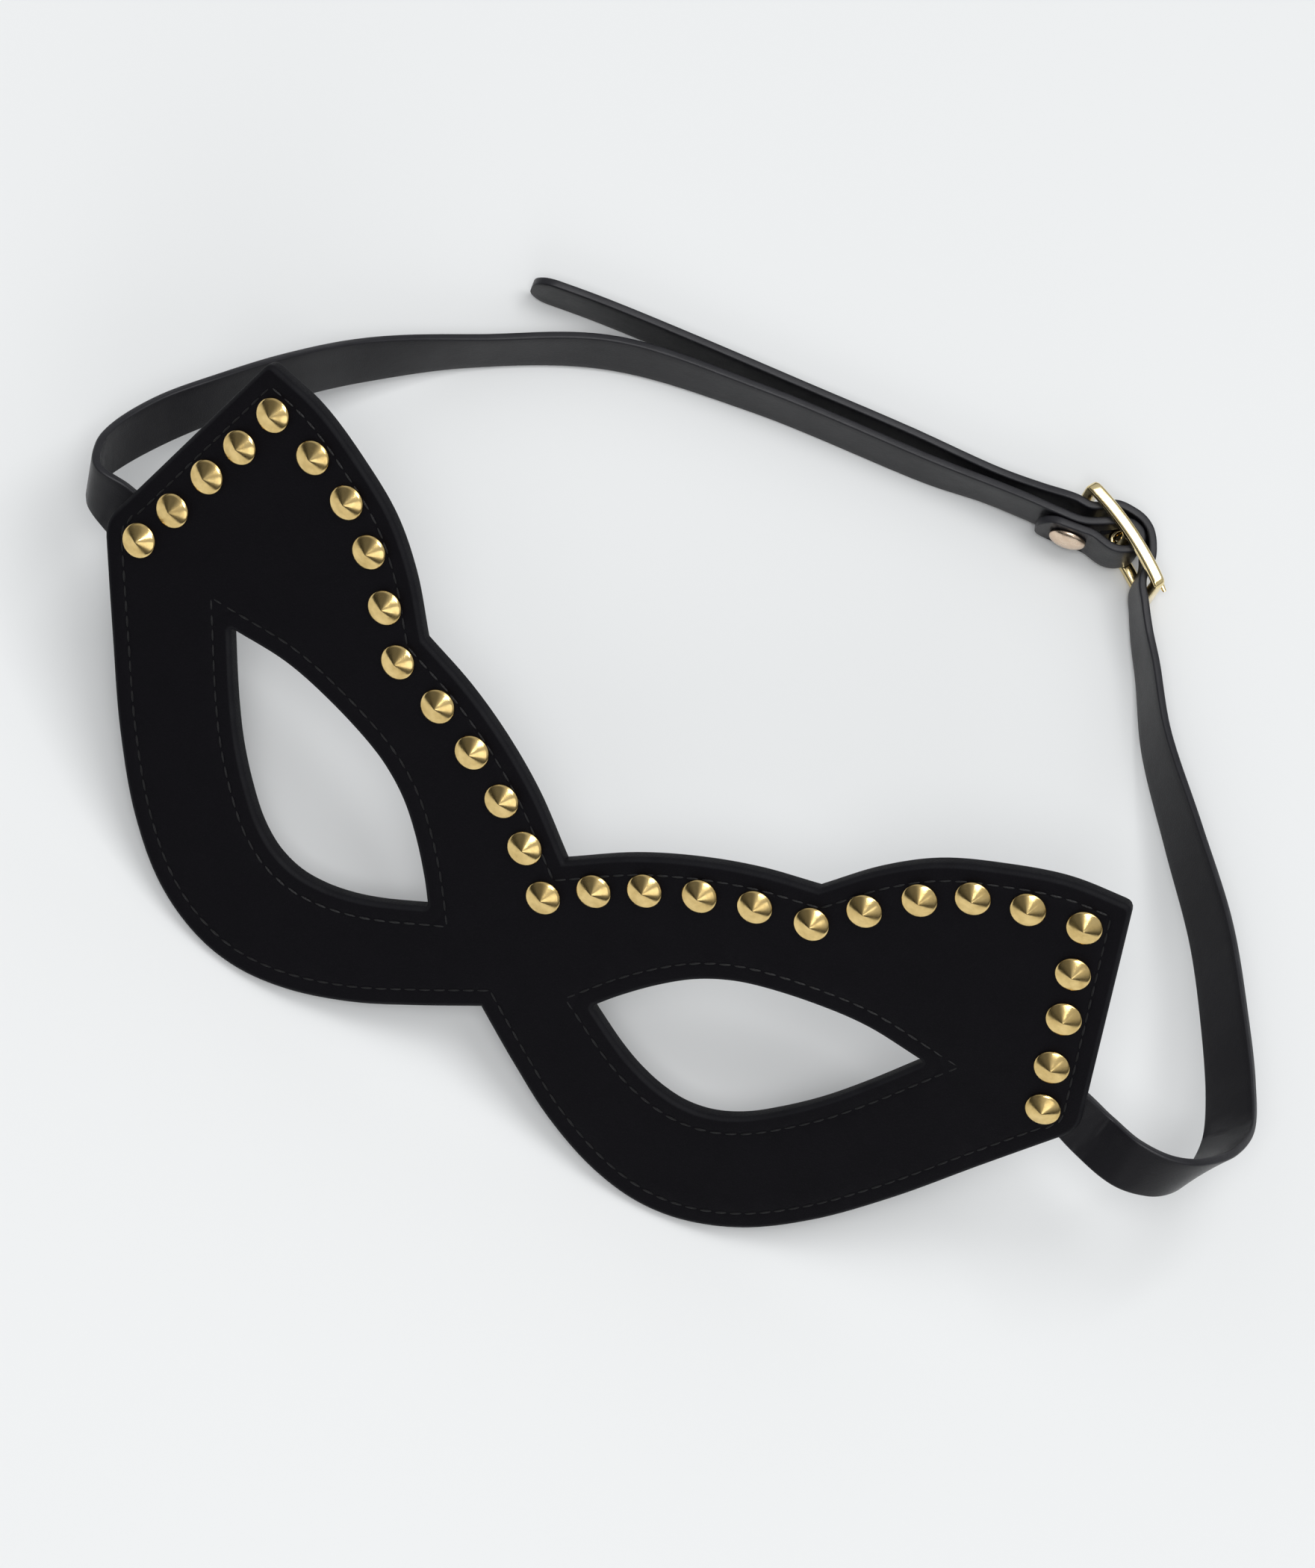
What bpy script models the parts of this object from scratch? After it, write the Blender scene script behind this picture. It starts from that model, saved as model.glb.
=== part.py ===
"""Cat eye mask: a stiff leather half mask with brass cone studs, closed behind
the head by a narrow strap and a small centre-bar buckle.

Metres, +Z up. The mask stands by itself on the lower edges of its cheeks and
on the strap. +X runs along the mask's width, the mask's front faces -Y and
the strap goes round behind it, towards +Y.
"""

import math

import bmesh
import bpy
import numpy as np
from mathutils import Matrix, Vector

MM = 0.001

# Sizes of the mask
HALF_WIDTH = 101.4 * MM          # middle line to an outer corner, along the leather
MASK_HEIGHT = 101.3 * MM         # lowest point of a cheek to the tip of an ear
LEATHER = 3.0 * MM               # thickness of the mask
LEATHER_EDGE = 0.5 * MM          # bevel round every cut edge of the mask
TIP_ROUND = 1.6 * MM             # how far an ear's tip is rounded back
CORNER_ROUND = 3.0 * MM          # how far an outer corner is rounded back
EYE_ROUND = 0.9 * MM             # how far the corners of an eye are rounded back
BEND_RADIUS = 573.0 * MM         # the mask bends round the face
CHEEK_TWIST = 11.3 * MM          # how far one cheek stands back and the other forward
TWIST_TOP = 0.197                # share of MASK_HEIGHT, the twist starts below here
STRIP = 9.0 * MM                 # width of the flat strips that follow the bend

# How the mask stands
LEAN = 48.0                      # degrees between the table and the mask's face
ROLL = -2.76                     # degrees, one end is higher than the other

# Sizes of the studs
STUD_DIAMETER = 6.4 * MM
STUD_HEIGHT = 1.8 * MM
STUD_RIM = 0.45 * MM             # height of the upright rim below the cone
STUD_SIDES = 16

# Sizes of the strap
STRAP_WIDTH = 10.0 * MM
STRAP_THICKNESS = 1.5 * MM
STRAP_EDGE = 0.3 * MM            # bevel along the strap's edges
STRAP_REACH = 125.9 * MM         # middle stud to the buckle's centre bar, backwards
STRAP_STEP = 6.0 * MM            # longest section of a strand
STRAP_TURN = 14.0                # degrees, most that one section turns
TAIL_LENGTH = 106.0 * MM         # free end, from the buckle's end bar
PROUD = 0.05 * MM                # how far the strands stay above the table

# Sizes of the buckle
BUCKLE_HALF_LENGTH = 11.4 * MM
BUCKLE_SIDE_PLAY = 0.3 * MM      # between a strap's edge and a rail
BUCKLE_RAIL = 1.7 * MM           # height of a rail
BUCKLE_BAR = 2.0 * MM            # width of the end bars
CENTRE_BAR = 1.6 * MM            # width of the centre bar
BUCKLE_THICKNESS = 2.4 * MM
BUCKLE_EDGE = 0.5 * MM           # rounding along the frame's edges
BUCKLE_ARCH = 1.12 * MM          # how far the middle stands out
BUCKLE_TURN = -24.3              # degrees, the rails' heading
LOOP_SLACK = 0.40 * MM           # play between the strap's turns over the centre bar
PRONG_DIAMETER = 1.4 * MM
PRONG_SIDES = 10
PRONG_PLAY = 0.5 * MM            # round the prong, in the hole and in the slot
LAYER_PLAY = 0.3 * MM            # between the strand and its folded end

# Sizes of the rivet
RIVET_HEAD = 7.0 * MM
RIVET_DOME = 1.3 * MM
RIVET_SHANK = 2.0 * MM
RIVET_BACK = 3.6 * MM
RIVET_BACK_HEIGHT = 0.35 * MM
RIVET_SIDES = 20
RIVET_PLACE = 0.30               # share of the straight stretch by the bar

GAP = 0.3 * MM                   # between pieces that meet
CUT_ROOM = 1.0 * MM              # how far a cutting tool reaches beyond what it cuts

# The half outline of the leather, flat, from the middle line outwards.
# across is a share of HALF_WIDTH, up is a share of MASK_HEIGHT from the
# middle stud.
BROW = [
    # across, up
    (0.000, 0.079),
    (0.099, 0.159),
    (0.197, 0.218),
    (0.296, 0.262),
    (0.400, 0.293),
]
EAR = [
    # across, up
    (0.400, 0.293),
    (0.473, 0.384),
    (0.552, 0.454),
    (0.651, 0.506),
    (0.759, 0.546),
    (0.874, 0.561),
]
OUTER_CORNER = (1.000, 0.118)
CHEEK = [
    # across, up
    (1.000, 0.118),
    (0.888, -0.045),
    (0.789, -0.190),
    (0.690, -0.311),
    (0.592, -0.395),
    (0.493, -0.440),
    (0.404, -0.451),
    (0.306, -0.433),
    (0.197, -0.386),
    (0.099, -0.325),
    (0.000, -0.258),
]

# The eye hole, from its inner corner over the top to its outer corner and
# back along its lower edge.
EYE_UPPER = [
    # across, up
    (0.166, -0.143),
    (0.197, -0.098),
    (0.247, -0.037),
    (0.296, 0.010),
    (0.345, 0.042),
    (0.394, 0.063),
    (0.493, 0.089),
    (0.592, 0.102),
    (0.708, 0.094),
]
EYE_LOWER = [
    # across, up
    (0.708, 0.094),
    (0.641, -0.013),
    (0.592, -0.082),
    (0.542, -0.139),
    (0.493, -0.185),
    (0.444, -0.214),
    (0.394, -0.226),
    (0.345, -0.223),
    (0.296, -0.210),
    (0.247, -0.189),
    (0.166, -0.143),
]

# The studs on one half, from the middle outwards: along the brow, up the ear
# and down the outer edge.
STUD_PLACES = [
    # across, up
    (0.070, 0.064),
    (0.145, 0.118),
    (0.231, 0.166),
    (0.322, 0.204),
    (0.420, 0.232),
    (0.486, 0.306),
    (0.557, 0.378),
    (0.633, 0.432),
    (0.723, 0.465),
    (0.821, 0.486),
    (0.846, 0.396),
    (0.873, 0.310),
    (0.899, 0.215),
    (0.925, 0.130),
]

# The strap's strands between the mask and the buckle. across is a share of
# HALF_WIDTH, back a share of STRAP_REACH, fall the share of the height above
# the table that is left, lean the angle in degrees by which the strand's top
# edge leans in over the ring.
LEFT_STRAND = [
    # across, back, fall, lean
    (-0.998, 0.146, 0.840, 38),
    (-1.052, 0.159, 0.812, 10),
    (-1.068, 0.191, 0.739, -14),
    (-1.061, 0.236, 0.669, -30),
    (-1.024, 0.310, 0.608, -36),
    (-0.965, 0.390, 0.552, -32),
    (-0.895, 0.480, 0.423, -32),
    (-0.804, 0.587, 0.197, -28),
    (-0.654, 0.707, 0.030, -12),
    (-0.452, 0.821, 0.009, -13),
    (-0.189, 0.887, 0.000, -6),
    (0.150, 0.942, 0.000, -4),
]
RIGHT_STRAND = [
    # across, back, fall, lean
    (1.018, 0.140, 0.868, 46),
    (1.090, 0.128, 0.913, 45),
    (1.146, 0.139, 0.895, 31),
    (1.181, 0.159, 0.858, 15),
    (1.204, 0.187, 0.791, -3),
    (1.218, 0.225, 0.702, -25),
    (1.218, 0.279, 0.600, -45),
    (1.182, 0.345, 0.510, -45),
    (1.111, 0.436, 0.412, -40),
    (1.010, 0.548, 0.301, -36),
    (0.879, 0.661, 0.175, -28),
    (0.746, 0.773, 0.070, -16),
    (0.666, 0.859, 0.037, -8),
]
# Where a strand lies behind the outer end of the mask
ROOT = [
    # across, up, how much further off as a share of GAP
    (0.800, 0.153, 0.0),
    (0.888, 0.148, 0.2),
    (0.962, 0.128, 0.7),
]

# The fold round the buckle's centre bar: degrees from the rails' direction, and
# the distance from the bar as a share of the closest turn
FOLD = [
    # angle, loose
    (90, 1.00),
    (60, 1.04),
    (30, 1.12),
    (0, 1.12),
    (-50, 1.28),
    (-84, 1.70),
]

# The tail: along is a share of TAIL_LENGTH from the end bar, away the
# distance from the straight line through the tail's two ends, as a share of
# the same length.
TAIL_HEADING = 191.3             # degrees, from the end bar to the tail's end
TAIL_BOW = [
    # along, away
    (0.06, -0.002),
    (0.14, -0.003),
    (0.31, 0.003),
    (0.50, 0.005),
    (0.70, 0.007),
    (0.88, 0.006),
    (1.00, 0.000),
]

BUCKLE_HEIGHT = STRAP_WIDTH + 2 * (BUCKLE_SIDE_PLAY + BUCKLE_RAIL)
BUCKLE_MIDDLE = BUCKLE_HEIGHT / 2
BUCKLE_ACROSS = 0.5015           # share of HALF_WIDTH


def clear_scene():
    for obj in list(bpy.data.objects):
        bpy.data.objects.remove(obj, do_unlink=True)


def material(name, colour, roughness, metallic):
    mat = bpy.data.materials.new(name)
    mat.use_nodes = True
    bsdf = mat.node_tree.nodes["Principled BSDF"]
    bsdf.inputs["Base Color"].default_value = (*colour, 1.0)
    bsdf.inputs["Roughness"].default_value = roughness
    bsdf.inputs["Metallic"].default_value = metallic
    mat.diffuse_color = (*colour, 1.0)
    return mat


def smooth_curve(points, count):
    """Centripetal Catmull-Rom curve through the points, count steps a span."""
    pts = [np.asarray(p, float) for p in points]
    pts = [2 * pts[0] - pts[1]] + pts + [2 * pts[-1] - pts[-2]]
    out = []
    for i in range(1, len(pts) - 2):
        p0, p1, p2, p3 = pts[i - 1:i + 3]
        t0 = 0.0
        t1 = t0 + math.sqrt(np.linalg.norm(p1 - p0)) + 1e-9
        t2 = t1 + math.sqrt(np.linalg.norm(p2 - p1)) + 1e-9
        t3 = t2 + math.sqrt(np.linalg.norm(p3 - p2)) + 1e-9
        for k in range(count):
            t = t1 + (t2 - t1) * k / count
            a1 = (t1 - t) / (t1 - t0) * p0 + (t - t0) / (t1 - t0) * p1
            a2 = (t2 - t) / (t2 - t1) * p1 + (t - t1) / (t2 - t1) * p2
            a3 = (t3 - t) / (t3 - t2) * p2 + (t - t2) / (t3 - t2) * p3
            b1 = (t2 - t) / (t2 - t0) * a1 + (t - t0) / (t2 - t0) * a2
            b2 = (t3 - t) / (t3 - t1) * a2 + (t - t1) / (t3 - t1) * a3
            out.append((t2 - t) / (t2 - t1) * b1 + (t - t1) / (t2 - t1) * b2)
    out.append(pts[-2])
    return out


def rounded_corner(before, corner, after, reach, steps=3):
    """The points that replace a sharp corner, reach back along both sides."""
    a = np.asarray(before, float) - corner
    b = np.asarray(after, float) - corner
    start = corner + a / np.linalg.norm(a) * reach
    end = corner + b / np.linalg.norm(b) * reach
    return [(1 - t) ** 2 * start + 2 * t * (1 - t) * corner + t * t * end
            for t in (k / steps for k in range(steps + 1))]


def sized(table):
    return [(a * HALF_WIDTH, b * MASK_HEIGHT) for a, b in table]


def beyond(points, corner, reach):
    """The points of a stretch that stay clear of a rounded corner."""
    return [p for p in points if np.linalg.norm(p - corner) > 1.25 * reach]


def mask_outline():
    """The whole outline, flat, once round, starting at the forehead notch."""
    brow = smooth_curve(sized(BROW), 2)
    ear = smooth_curve(sized(EAR), 2)
    tip = ear[-1]
    corner = np.array(sized([OUTER_CORNER])[0])
    cheek = smooth_curve(sized(CHEEK), 2)
    half = brow[:-1] + beyond(ear, tip, TIP_ROUND)
    half += rounded_corner(ear[-2], tip, corner, TIP_ROUND)
    half += rounded_corner(tip, corner, cheek[1], CORNER_ROUND)
    half += beyond(cheek, corner, CORNER_ROUND)
    mirrored = [np.array((-p[0], p[1])) for p in reversed(half[1:-1])]
    return half + mirrored


def eye_outline(side):
    upper = smooth_curve(sized(EYE_UPPER), 2)
    lower = smooth_curve(sized(EYE_LOWER), 2)
    inner, outer = upper[0], upper[-1]
    loop = rounded_corner(lower[-2], inner, upper[1], EYE_ROUND, 2) + upper[1:-1]
    loop += rounded_corner(upper[-2], outer, lower[1], EYE_ROUND, 2) + lower[1:-1]
    return [np.array((side * p[0], p[1])) for p in loop]


def area(loop):
    p = np.array(loop)
    q = np.roll(p, -1, axis=0)
    return 0.5 * float(np.sum(p[:, 0] * q[:, 1] - q[:, 0] * p[:, 1]))


def grown(loop, amount):
    """The loop moved outwards by amount, each corner along its own bisector."""
    p = np.array(loop)
    sign = 1.0 if area(loop) > 0 else -1.0
    ahead = np.roll(p, -1, axis=0) - p
    ahead /= np.linalg.norm(ahead, axis=1)[:, None]
    behind = np.roll(ahead, 1, axis=0)
    n1 = sign * np.stack([ahead[:, 1], -ahead[:, 0]], axis=1)
    n0 = sign * np.stack([behind[:, 1], -behind[:, 0]], axis=1)
    bis = n0 + n1
    bis /= np.linalg.norm(bis, axis=1)[:, None]
    cosine = np.maximum(np.sum(bis * n1, axis=1), 0.45)
    return list(p + bis * (amount / cosine)[:, None])


def plate(outline, holes, rows):
    """A closed plate in a bmesh. rows gives (depth, inset) from the front face
    to the back face; the inset narrows the plate and widens its holes."""
    bm = bmesh.new()
    loops = [(outline, -1.0)] + [(hole, 1.0) for hole in holes]
    caps = {0: [], len(rows) - 1: []}
    for loop, way in loops:
        rings = []
        for depth, inset in rows:
            pts = grown(loop, way * inset) if inset else loop
            rings.append([bm.verts.new((p[0], p[1], -depth)) for p in pts])
        n = len(loop)
        for upper, lower in zip(rings, rings[1:]):
            for i in range(n):
                j = (i + 1) % n
                bm.faces.new((upper[i], upper[j], lower[j], lower[i]))
        for key in caps:
            ring = rings[key]
            caps[key] += [bm.edges.get((ring[i], ring[(i + 1) % n])) for i in range(n)]
    for edges in caps.values():
        bmesh.ops.triangle_fill(bm, use_beauty=True, use_dissolve=False, edges=edges)
    bmesh.ops.recalc_face_normals(bm, faces=bm.faces)
    return bm


def cut_across(bm, axis, places):
    """Edges across the plate at the given places along an axis, so that it can
    bend there."""
    normal = [0, 0, 0]
    normal[axis] = 1
    for place in places:
        at = [0, 0, 0]
        at[axis] = place
        geom = bm.verts[:] + bm.edges[:] + bm.faces[:]
        bmesh.ops.bisect_plane(bm, geom=geom, dist=1e-6, plane_co=at, plane_no=normal)


def even_steps(half, spacing):
    """Places at even steps on both sides of zero, within half."""
    count = math.ceil(half / spacing)
    return [(k + 0.5) * half / count for k in range(-count, count)]


def finish_mesh(bm, name, mat, smooth_angle=None):
    bmesh.ops.recalc_face_normals(bm, faces=bm.faces)
    if bm.calc_volume(signed=True) < 0:
        bmesh.ops.reverse_faces(bm, faces=bm.faces)
    mesh = bpy.data.meshes.new(name)
    bm.to_mesh(mesh)
    bm.free()
    mesh.materials.append(mat)
    if smooth_angle is not None:
        mesh.shade_smooth()
        mesh.set_sharp_from_angle(angle=math.radians(smooth_angle))
    return mesh


def add_object(name, mesh, parent=None, matrix=None):
    obj = bpy.data.objects.new(name, mesh)
    bpy.context.scene.collection.objects.link(obj)
    if parent is not None:
        obj.parent = parent
    if matrix is not None:
        obj.matrix_local = matrix
    return obj


def add_empty(name, parent=None, matrix=None):
    return add_object(name, None, parent, matrix)


def cut(obj, cutter):
    """Cuts a hidden cutter out of the object with a Boolean modifier."""
    cutter.hide_render = True
    cutter.display_type = "WIRE"
    mod = obj.modifiers.new("cut_" + cutter.name, "BOOLEAN")
    mod.operation = "DIFFERENCE"
    mod.solver = "EXACT"
    mod.object = cutter


def on_mask(u, v, depth):
    """A point of the bent mask: u across and v up along the leather, depth
    behind its front face."""
    twist = CHEEK_TWIST * (u / HALF_WIDTH) * max(0.0, TWIST_TOP - v / MASK_HEIGHT)
    angle = u / BEND_RADIUS
    d = -depth - twist
    return Vector(((BEND_RADIUS + d) * math.sin(angle), v,
                   -BEND_RADIUS * (1 - math.cos(angle)) + d * math.cos(angle)))


def mask_normal(u, v):
    step = LEATHER / 3
    a = on_mask(u + step, v, 0) - on_mask(u - step, v, 0)
    b = on_mask(u, v + step, 0) - on_mask(u, v - step, 0)
    return a.cross(b).normalized()


def mask_pose(lift):
    turn = Matrix.Rotation(math.radians(ROLL), 4, "Y") @ Matrix.Rotation(math.radians(LEAN), 4, "X")
    return Matrix.Translation((0, 0, lift)) @ turn


def build_mask(leather):
    rows = [(0.0, LEATHER_EDGE), (LEATHER_EDGE, 0.0),
            (LEATHER - LEATHER_EDGE, 0.0), (LEATHER, LEATHER_EDGE)]
    bm = plate(mask_outline(), [eye_outline(1), eye_outline(-1)], rows)
    cut_across(bm, 0, even_steps(HALF_WIDTH, STRIP))
    cut_across(bm, 1, [TWIST_TOP * MASK_HEIGHT + k * 2 * STRIP for k in (-2, -1, 0, 1)])
    bmesh.ops.triangulate(bm, faces=bm.faces)
    for vert in bm.verts:
        vert.co = on_mask(vert.co.x, vert.co.y, -vert.co.z)
    return finish_mesh(bm, "mask_face", leather, 40)


def stud_mesh(brass):
    """A cone on a low rim, spun round its axis, with its foot at z = 0."""
    radius = STUD_DIAMETER / 2
    profile = [(0.0, 0.0), (radius * 0.93, 0.0), (radius, STUD_RIM * 0.4),
               (radius * 0.97, STUD_RIM), (radius * 0.80, STUD_RIM + (STUD_HEIGHT - STUD_RIM) * 0.27),
               (0.0, STUD_HEIGHT)]
    return finish_mesh(turned(profile, STUD_SIDES), "cone_stud", brass, 35)


def turned(profile, sides):
    """A closed body turned round +Z from (radius, height) points that start
    and end on the axis."""
    bm = bmesh.new()
    rings = []
    for r, h in profile:
        if r == 0:
            rings.append([bm.verts.new((0, 0, h))])
        else:
            rings.append([bm.verts.new((r * math.cos(2 * math.pi * k / sides),
                                        r * math.sin(2 * math.pi * k / sides), h))
                          for k in range(sides)])
    for a, b in zip(rings, rings[1:]):
        for k in range(sides):
            j = (k + 1) % sides
            ring = [a[k % len(a)], a[j % len(a)], b[j % len(b)], b[k % len(b)]]
            bm.faces.new(list(dict.fromkeys(ring)))
    return bm


def section(width, thickness, edge):
    """The strap's cross-section: (along the width, through the thickness)."""
    w, t = width / 2, thickness / 2
    return [(w, -t + edge), (w, t - edge), (w - edge, t), (edge - w, t),
            (-w, t - edge), (-w, edge - t), (edge - w, -t), (w - edge, -t)]


def ribbon(stations, round_end):
    """A strap swept along stations of (point, width direction). Returns the
    bmesh and the middle line's frames."""
    joined = [np.concatenate([np.array(p) / STRAP_WIDTH, np.array(w) * 0.3]) for p, w in stations]
    dense = np.array(smooth_curve(joined, 24))
    place = dense[:, :3] * STRAP_WIDTH
    wide = dense[:, 3:]
    run = np.concatenate([[0], np.cumsum(np.linalg.norm(np.diff(place, axis=0), axis=1))])
    total = run[-1]
    ahead = np.gradient(place, run, axis=0)
    ahead /= np.linalg.norm(ahead, axis=1)[:, None]
    turning = np.linalg.norm(np.gradient(ahead, run, axis=0), axis=1)
    # Sections lie closer where the strap bends more.
    weight = 1 / STRAP_STEP + turning / math.radians(STRAP_TURN)
    measure = np.concatenate([[0], np.cumsum(0.5 * (weight[1:] + weight[:-1]) * np.diff(run))])
    count = math.ceil(measure[-1])
    at = np.interp(np.linspace(0, measure[-1], count + 1), measure, run)
    reach = STRAP_WIDTH * 0.42
    if round_end:
        at = at[at < total - reach * 1.05]
        at = np.concatenate([at, total - reach * (1 - np.sin(np.radians([0, 22, 42, 60, 75, 88])))])
    bm = bmesh.new()
    rings, frames = [], []
    for s in at:
        point = np.array([np.interp(s, run, place[:, k]) for k in range(3)])
        along = np.array([np.interp(s, run, ahead[:, k]) for k in range(3)])
        along /= np.linalg.norm(along)
        across = np.array([np.interp(s, run, wide[:, k]) for k in range(3)])
        across -= along * np.dot(across, along)
        across /= np.linalg.norm(across)
        out = np.cross(along, across)
        frames.append((s, point, along, across, out))
        width = STRAP_WIDTH
        if round_end and total - s < reach:
            fill = 1 - (total - s) / reach
            width *= 0.22 + 0.78 * math.sqrt(max(0.0, 1 - fill * fill))
        rings.append([bm.verts.new(point + across * a + out * b)
                      for a, b in section(width, STRAP_THICKNESS, STRAP_EDGE)])
    for a, b in zip(rings, rings[1:]):
        for k in range(8):
            j = (k + 1) % 8
            bm.faces.new((a[k], a[j], b[j], b[k]))
    bm.faces.new(rings[0][::-1])
    bm.faces.new(rings[-1])
    return bm, frames


def lean_width(before, point, after, lean, side):
    """The width direction of a strand that leans in over the ring by lean."""
    along = (Vector(after) - Vector(before)).normalized()
    up = Vector((0, 0, 1))
    up = (up - along * up.dot(along)).normalized()
    out = along.cross(up)
    angle = math.radians(lean)
    return up * math.cos(angle) - out * (side * math.sin(angle))


def resting_height(lean):
    angle = math.radians(abs(lean))
    return (STRAP_WIDTH / 2 * math.cos(angle) + STRAP_THICKNESS / 2 * math.sin(angle)) + PROUD


def strand(side, table, pose):
    """Stations from behind the mask's end to the buckle."""
    turn = pose.to_3x3()
    roots = []
    for across, height, off in ROOT:
        u, v = side * across * HALF_WIDTH, height * MASK_HEIGHT
        depth = LEATHER + GAP * (1 + off) + STRAP_THICKNESS / 2
        up = (on_mask(u, v + LEATHER, depth) - on_mask(u, v, depth)).normalized()
        roots.append((pose @ on_mask(u, v, depth), turn @ up))
    top = roots[0][0].z
    points = []
    for across, back, fall, lean in table:
        rest = resting_height(lean)
        points.append((Vector((across * HALF_WIDTH, back * STRAP_REACH,
                               rest + fall * (top - rest))), lean))
    chain = [roots[-1][0]] + [p for p, lean in points]
    ends = chain + [2 * chain[-1] - chain[-2]]
    out = list(roots)
    for i, (point, lean) in enumerate(points, start=1):
        out.append((point, lean_width(ends[i - 1], point, ends[i + 1], lean, side)))
    return out


def buckle_place(along, out, height):
    """A point given in the buckle's own directions: along its rails, outwards
    from the ring and up from the table."""
    turn = math.radians(BUCKLE_TURN)
    x = BUCKLE_ACROSS * HALF_WIDTH + along * math.cos(turn) - out * math.sin(turn)
    y = STRAP_REACH + along * math.sin(turn) + out * math.cos(turn)
    return Vector((x, y, height))


def buckle_matrix():
    turn = Matrix.Rotation(math.radians(BUCKLE_TURN), 4, "Z")
    return Matrix.Translation(buckle_place(0, 0, BUCKLE_MIDDLE)) @ turn


def arch(along):
    return BUCKLE_ARCH * (0.55 - (along / BUCKLE_HALF_LENGTH) ** 2)


def bar_reach():
    """How far the centre bar's rounded corners reach from its middle line."""
    r = 0.29 * BUCKLE_EDGE
    corner = math.hypot(CENTRE_BAR / 2 - r, BUCKLE_THICKNESS / 2 - r)
    return max(BUCKLE_THICKNESS / 2, corner)


def rivet_line():
    """The straight stretch of the left strand under the rivet, in the
    buckle's own directions: its far end and its end near the centre bar."""
    half = BUCKLE_HALF_LENGTH
    return (-0.916 * half, -0.697 * half), (-0.562 * half, -0.422 * half)


def left_route(pose):
    """The left strand, its fold round the centre bar and its folded end."""
    up = Vector((0, 0, 1))
    half = BUCKLE_HALF_LENGTH
    fold = bar_reach() + GAP + STRAP_THICKNESS / 2
    lie = STRAP_THICKNESS + LAYER_PLAY
    low = resting_height(0)
    rise = BUCKLE_MIDDLE - low
    # along and out, the strand's own line before the bar
    far, near = rivet_line()
    line = [(-1.89 * half, -1.34 * half, 0.35), (-1.35 * half, -0.980 * half, 0.80),
            (*far, 1.0), (*near, 1.0)]
    out = strand(-1, LEFT_STRAND, pose)
    for a, o, h in line:
        out.append((buckle_place(a, o, low + rise * h), up))
    centre = arch(0)
    out.append((buckle_place(-0.88 * fold, centre + 0.64 * fold, BUCKLE_MIDDLE), up))
    for angle, loose in FOLD:
        a, far = math.radians(angle), fold * loose
        out.append((buckle_place(far * math.cos(a), centre + far * math.sin(a), BUCKLE_MIDDLE), up))
    # The folded end lies along the strand's inner side.
    (a1, o1, _), (a0, o0, _) = line[2:]
    dx, dy = a1 - a0, o1 - o0
    size = math.hypot(dx, dy)
    nx, ny = -dy / size, dx / size
    for share, spread in ((-0.42, 1.0), (0.0, 1.0), (0.5, 1.0), (1.0, 1.0), (1.52, 1.25)):
        a = a0 + dx * share + nx * lie * spread
        o = o0 + dy * share + ny * lie * spread
        out.append((buckle_place(a, o, BUCKLE_MIDDLE), up))
    return out


def right_route(pose):
    """The right strand, its way through the buckle and its free tail."""
    up = Vector((0, 0, 1))
    half = BUCKLE_HALF_LENGTH
    low = resting_height(0)
    rise = BUCKLE_MIDDLE - low
    fold = bar_reach() + GAP + STRAP_THICKNESS / 2
    over = arch(0) + fold + STRAP_THICKNESS + LOOP_SLACK
    under = -(BUCKLE_THICKNESS + STRAP_THICKNESS) / 2 - GAP
    bar = arch(half - BUCKLE_BAR / 2)
    out = strand(1, RIGHT_STRAND, pose)
    steps = [
        # along, out, how far it has risen to the buckle's middle, lean
        (1.50 * half, -0.585 * half, 0.60, -5),
        (1.04 * half, -0.352 * half, 0.95, -2),
        (0.74 * half, bar + 0.75 * under, 1.0, 0),
        (0.50 * half, 0.41 * over, 1.0, 0),
        (0.325 * half, 0.73 * over, 1.0, 0),
        (0.21 * half, 0.88 * over, 1.0, 0),
        (0.08 * half, 0.98 * over, 1.0, 0),
        (-0.10 * half, 0.98 * over, 1.0, 0),
        (-0.28 * half, 0.83 * over, 1.0, 0),
        (-0.52 * half, 0.45 * over, 1.0, 0),
        (-0.70 * half, bar + 0.70 * under, 1.0, 0),
        (-0.95 * half, bar + 1.50 * under, 0.95, 0),
    ]
    places = [buckle_place(a, o, low + rise * h) for a, o, h, lean in steps]
    before = [out[-1][0]] + places
    after = places[1:] + [2 * places[-1] - places[-2]]
    for prior, place, later, step in zip(before, places, after, steps):
        out.append((place, lean_width(prior, place, later, step[3], 1)))
    start = buckle_place(-0.95 * half, bar + 1.50 * under, low)
    heading = math.radians(TAIL_HEADING)
    for along, away in TAIL_BOW:
        s, w = along * TAIL_LENGTH, away * TAIL_LENGTH
        x = start.x + s * math.cos(heading) + w * math.sin(heading)
        y = start.y + s * math.sin(heading) - w * math.cos(heading)
        h = low + rise * max(0.0, 1.0 - along / 0.14) * 0.75
        out.append((Vector((x, y, h)), up))
    return out


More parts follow.
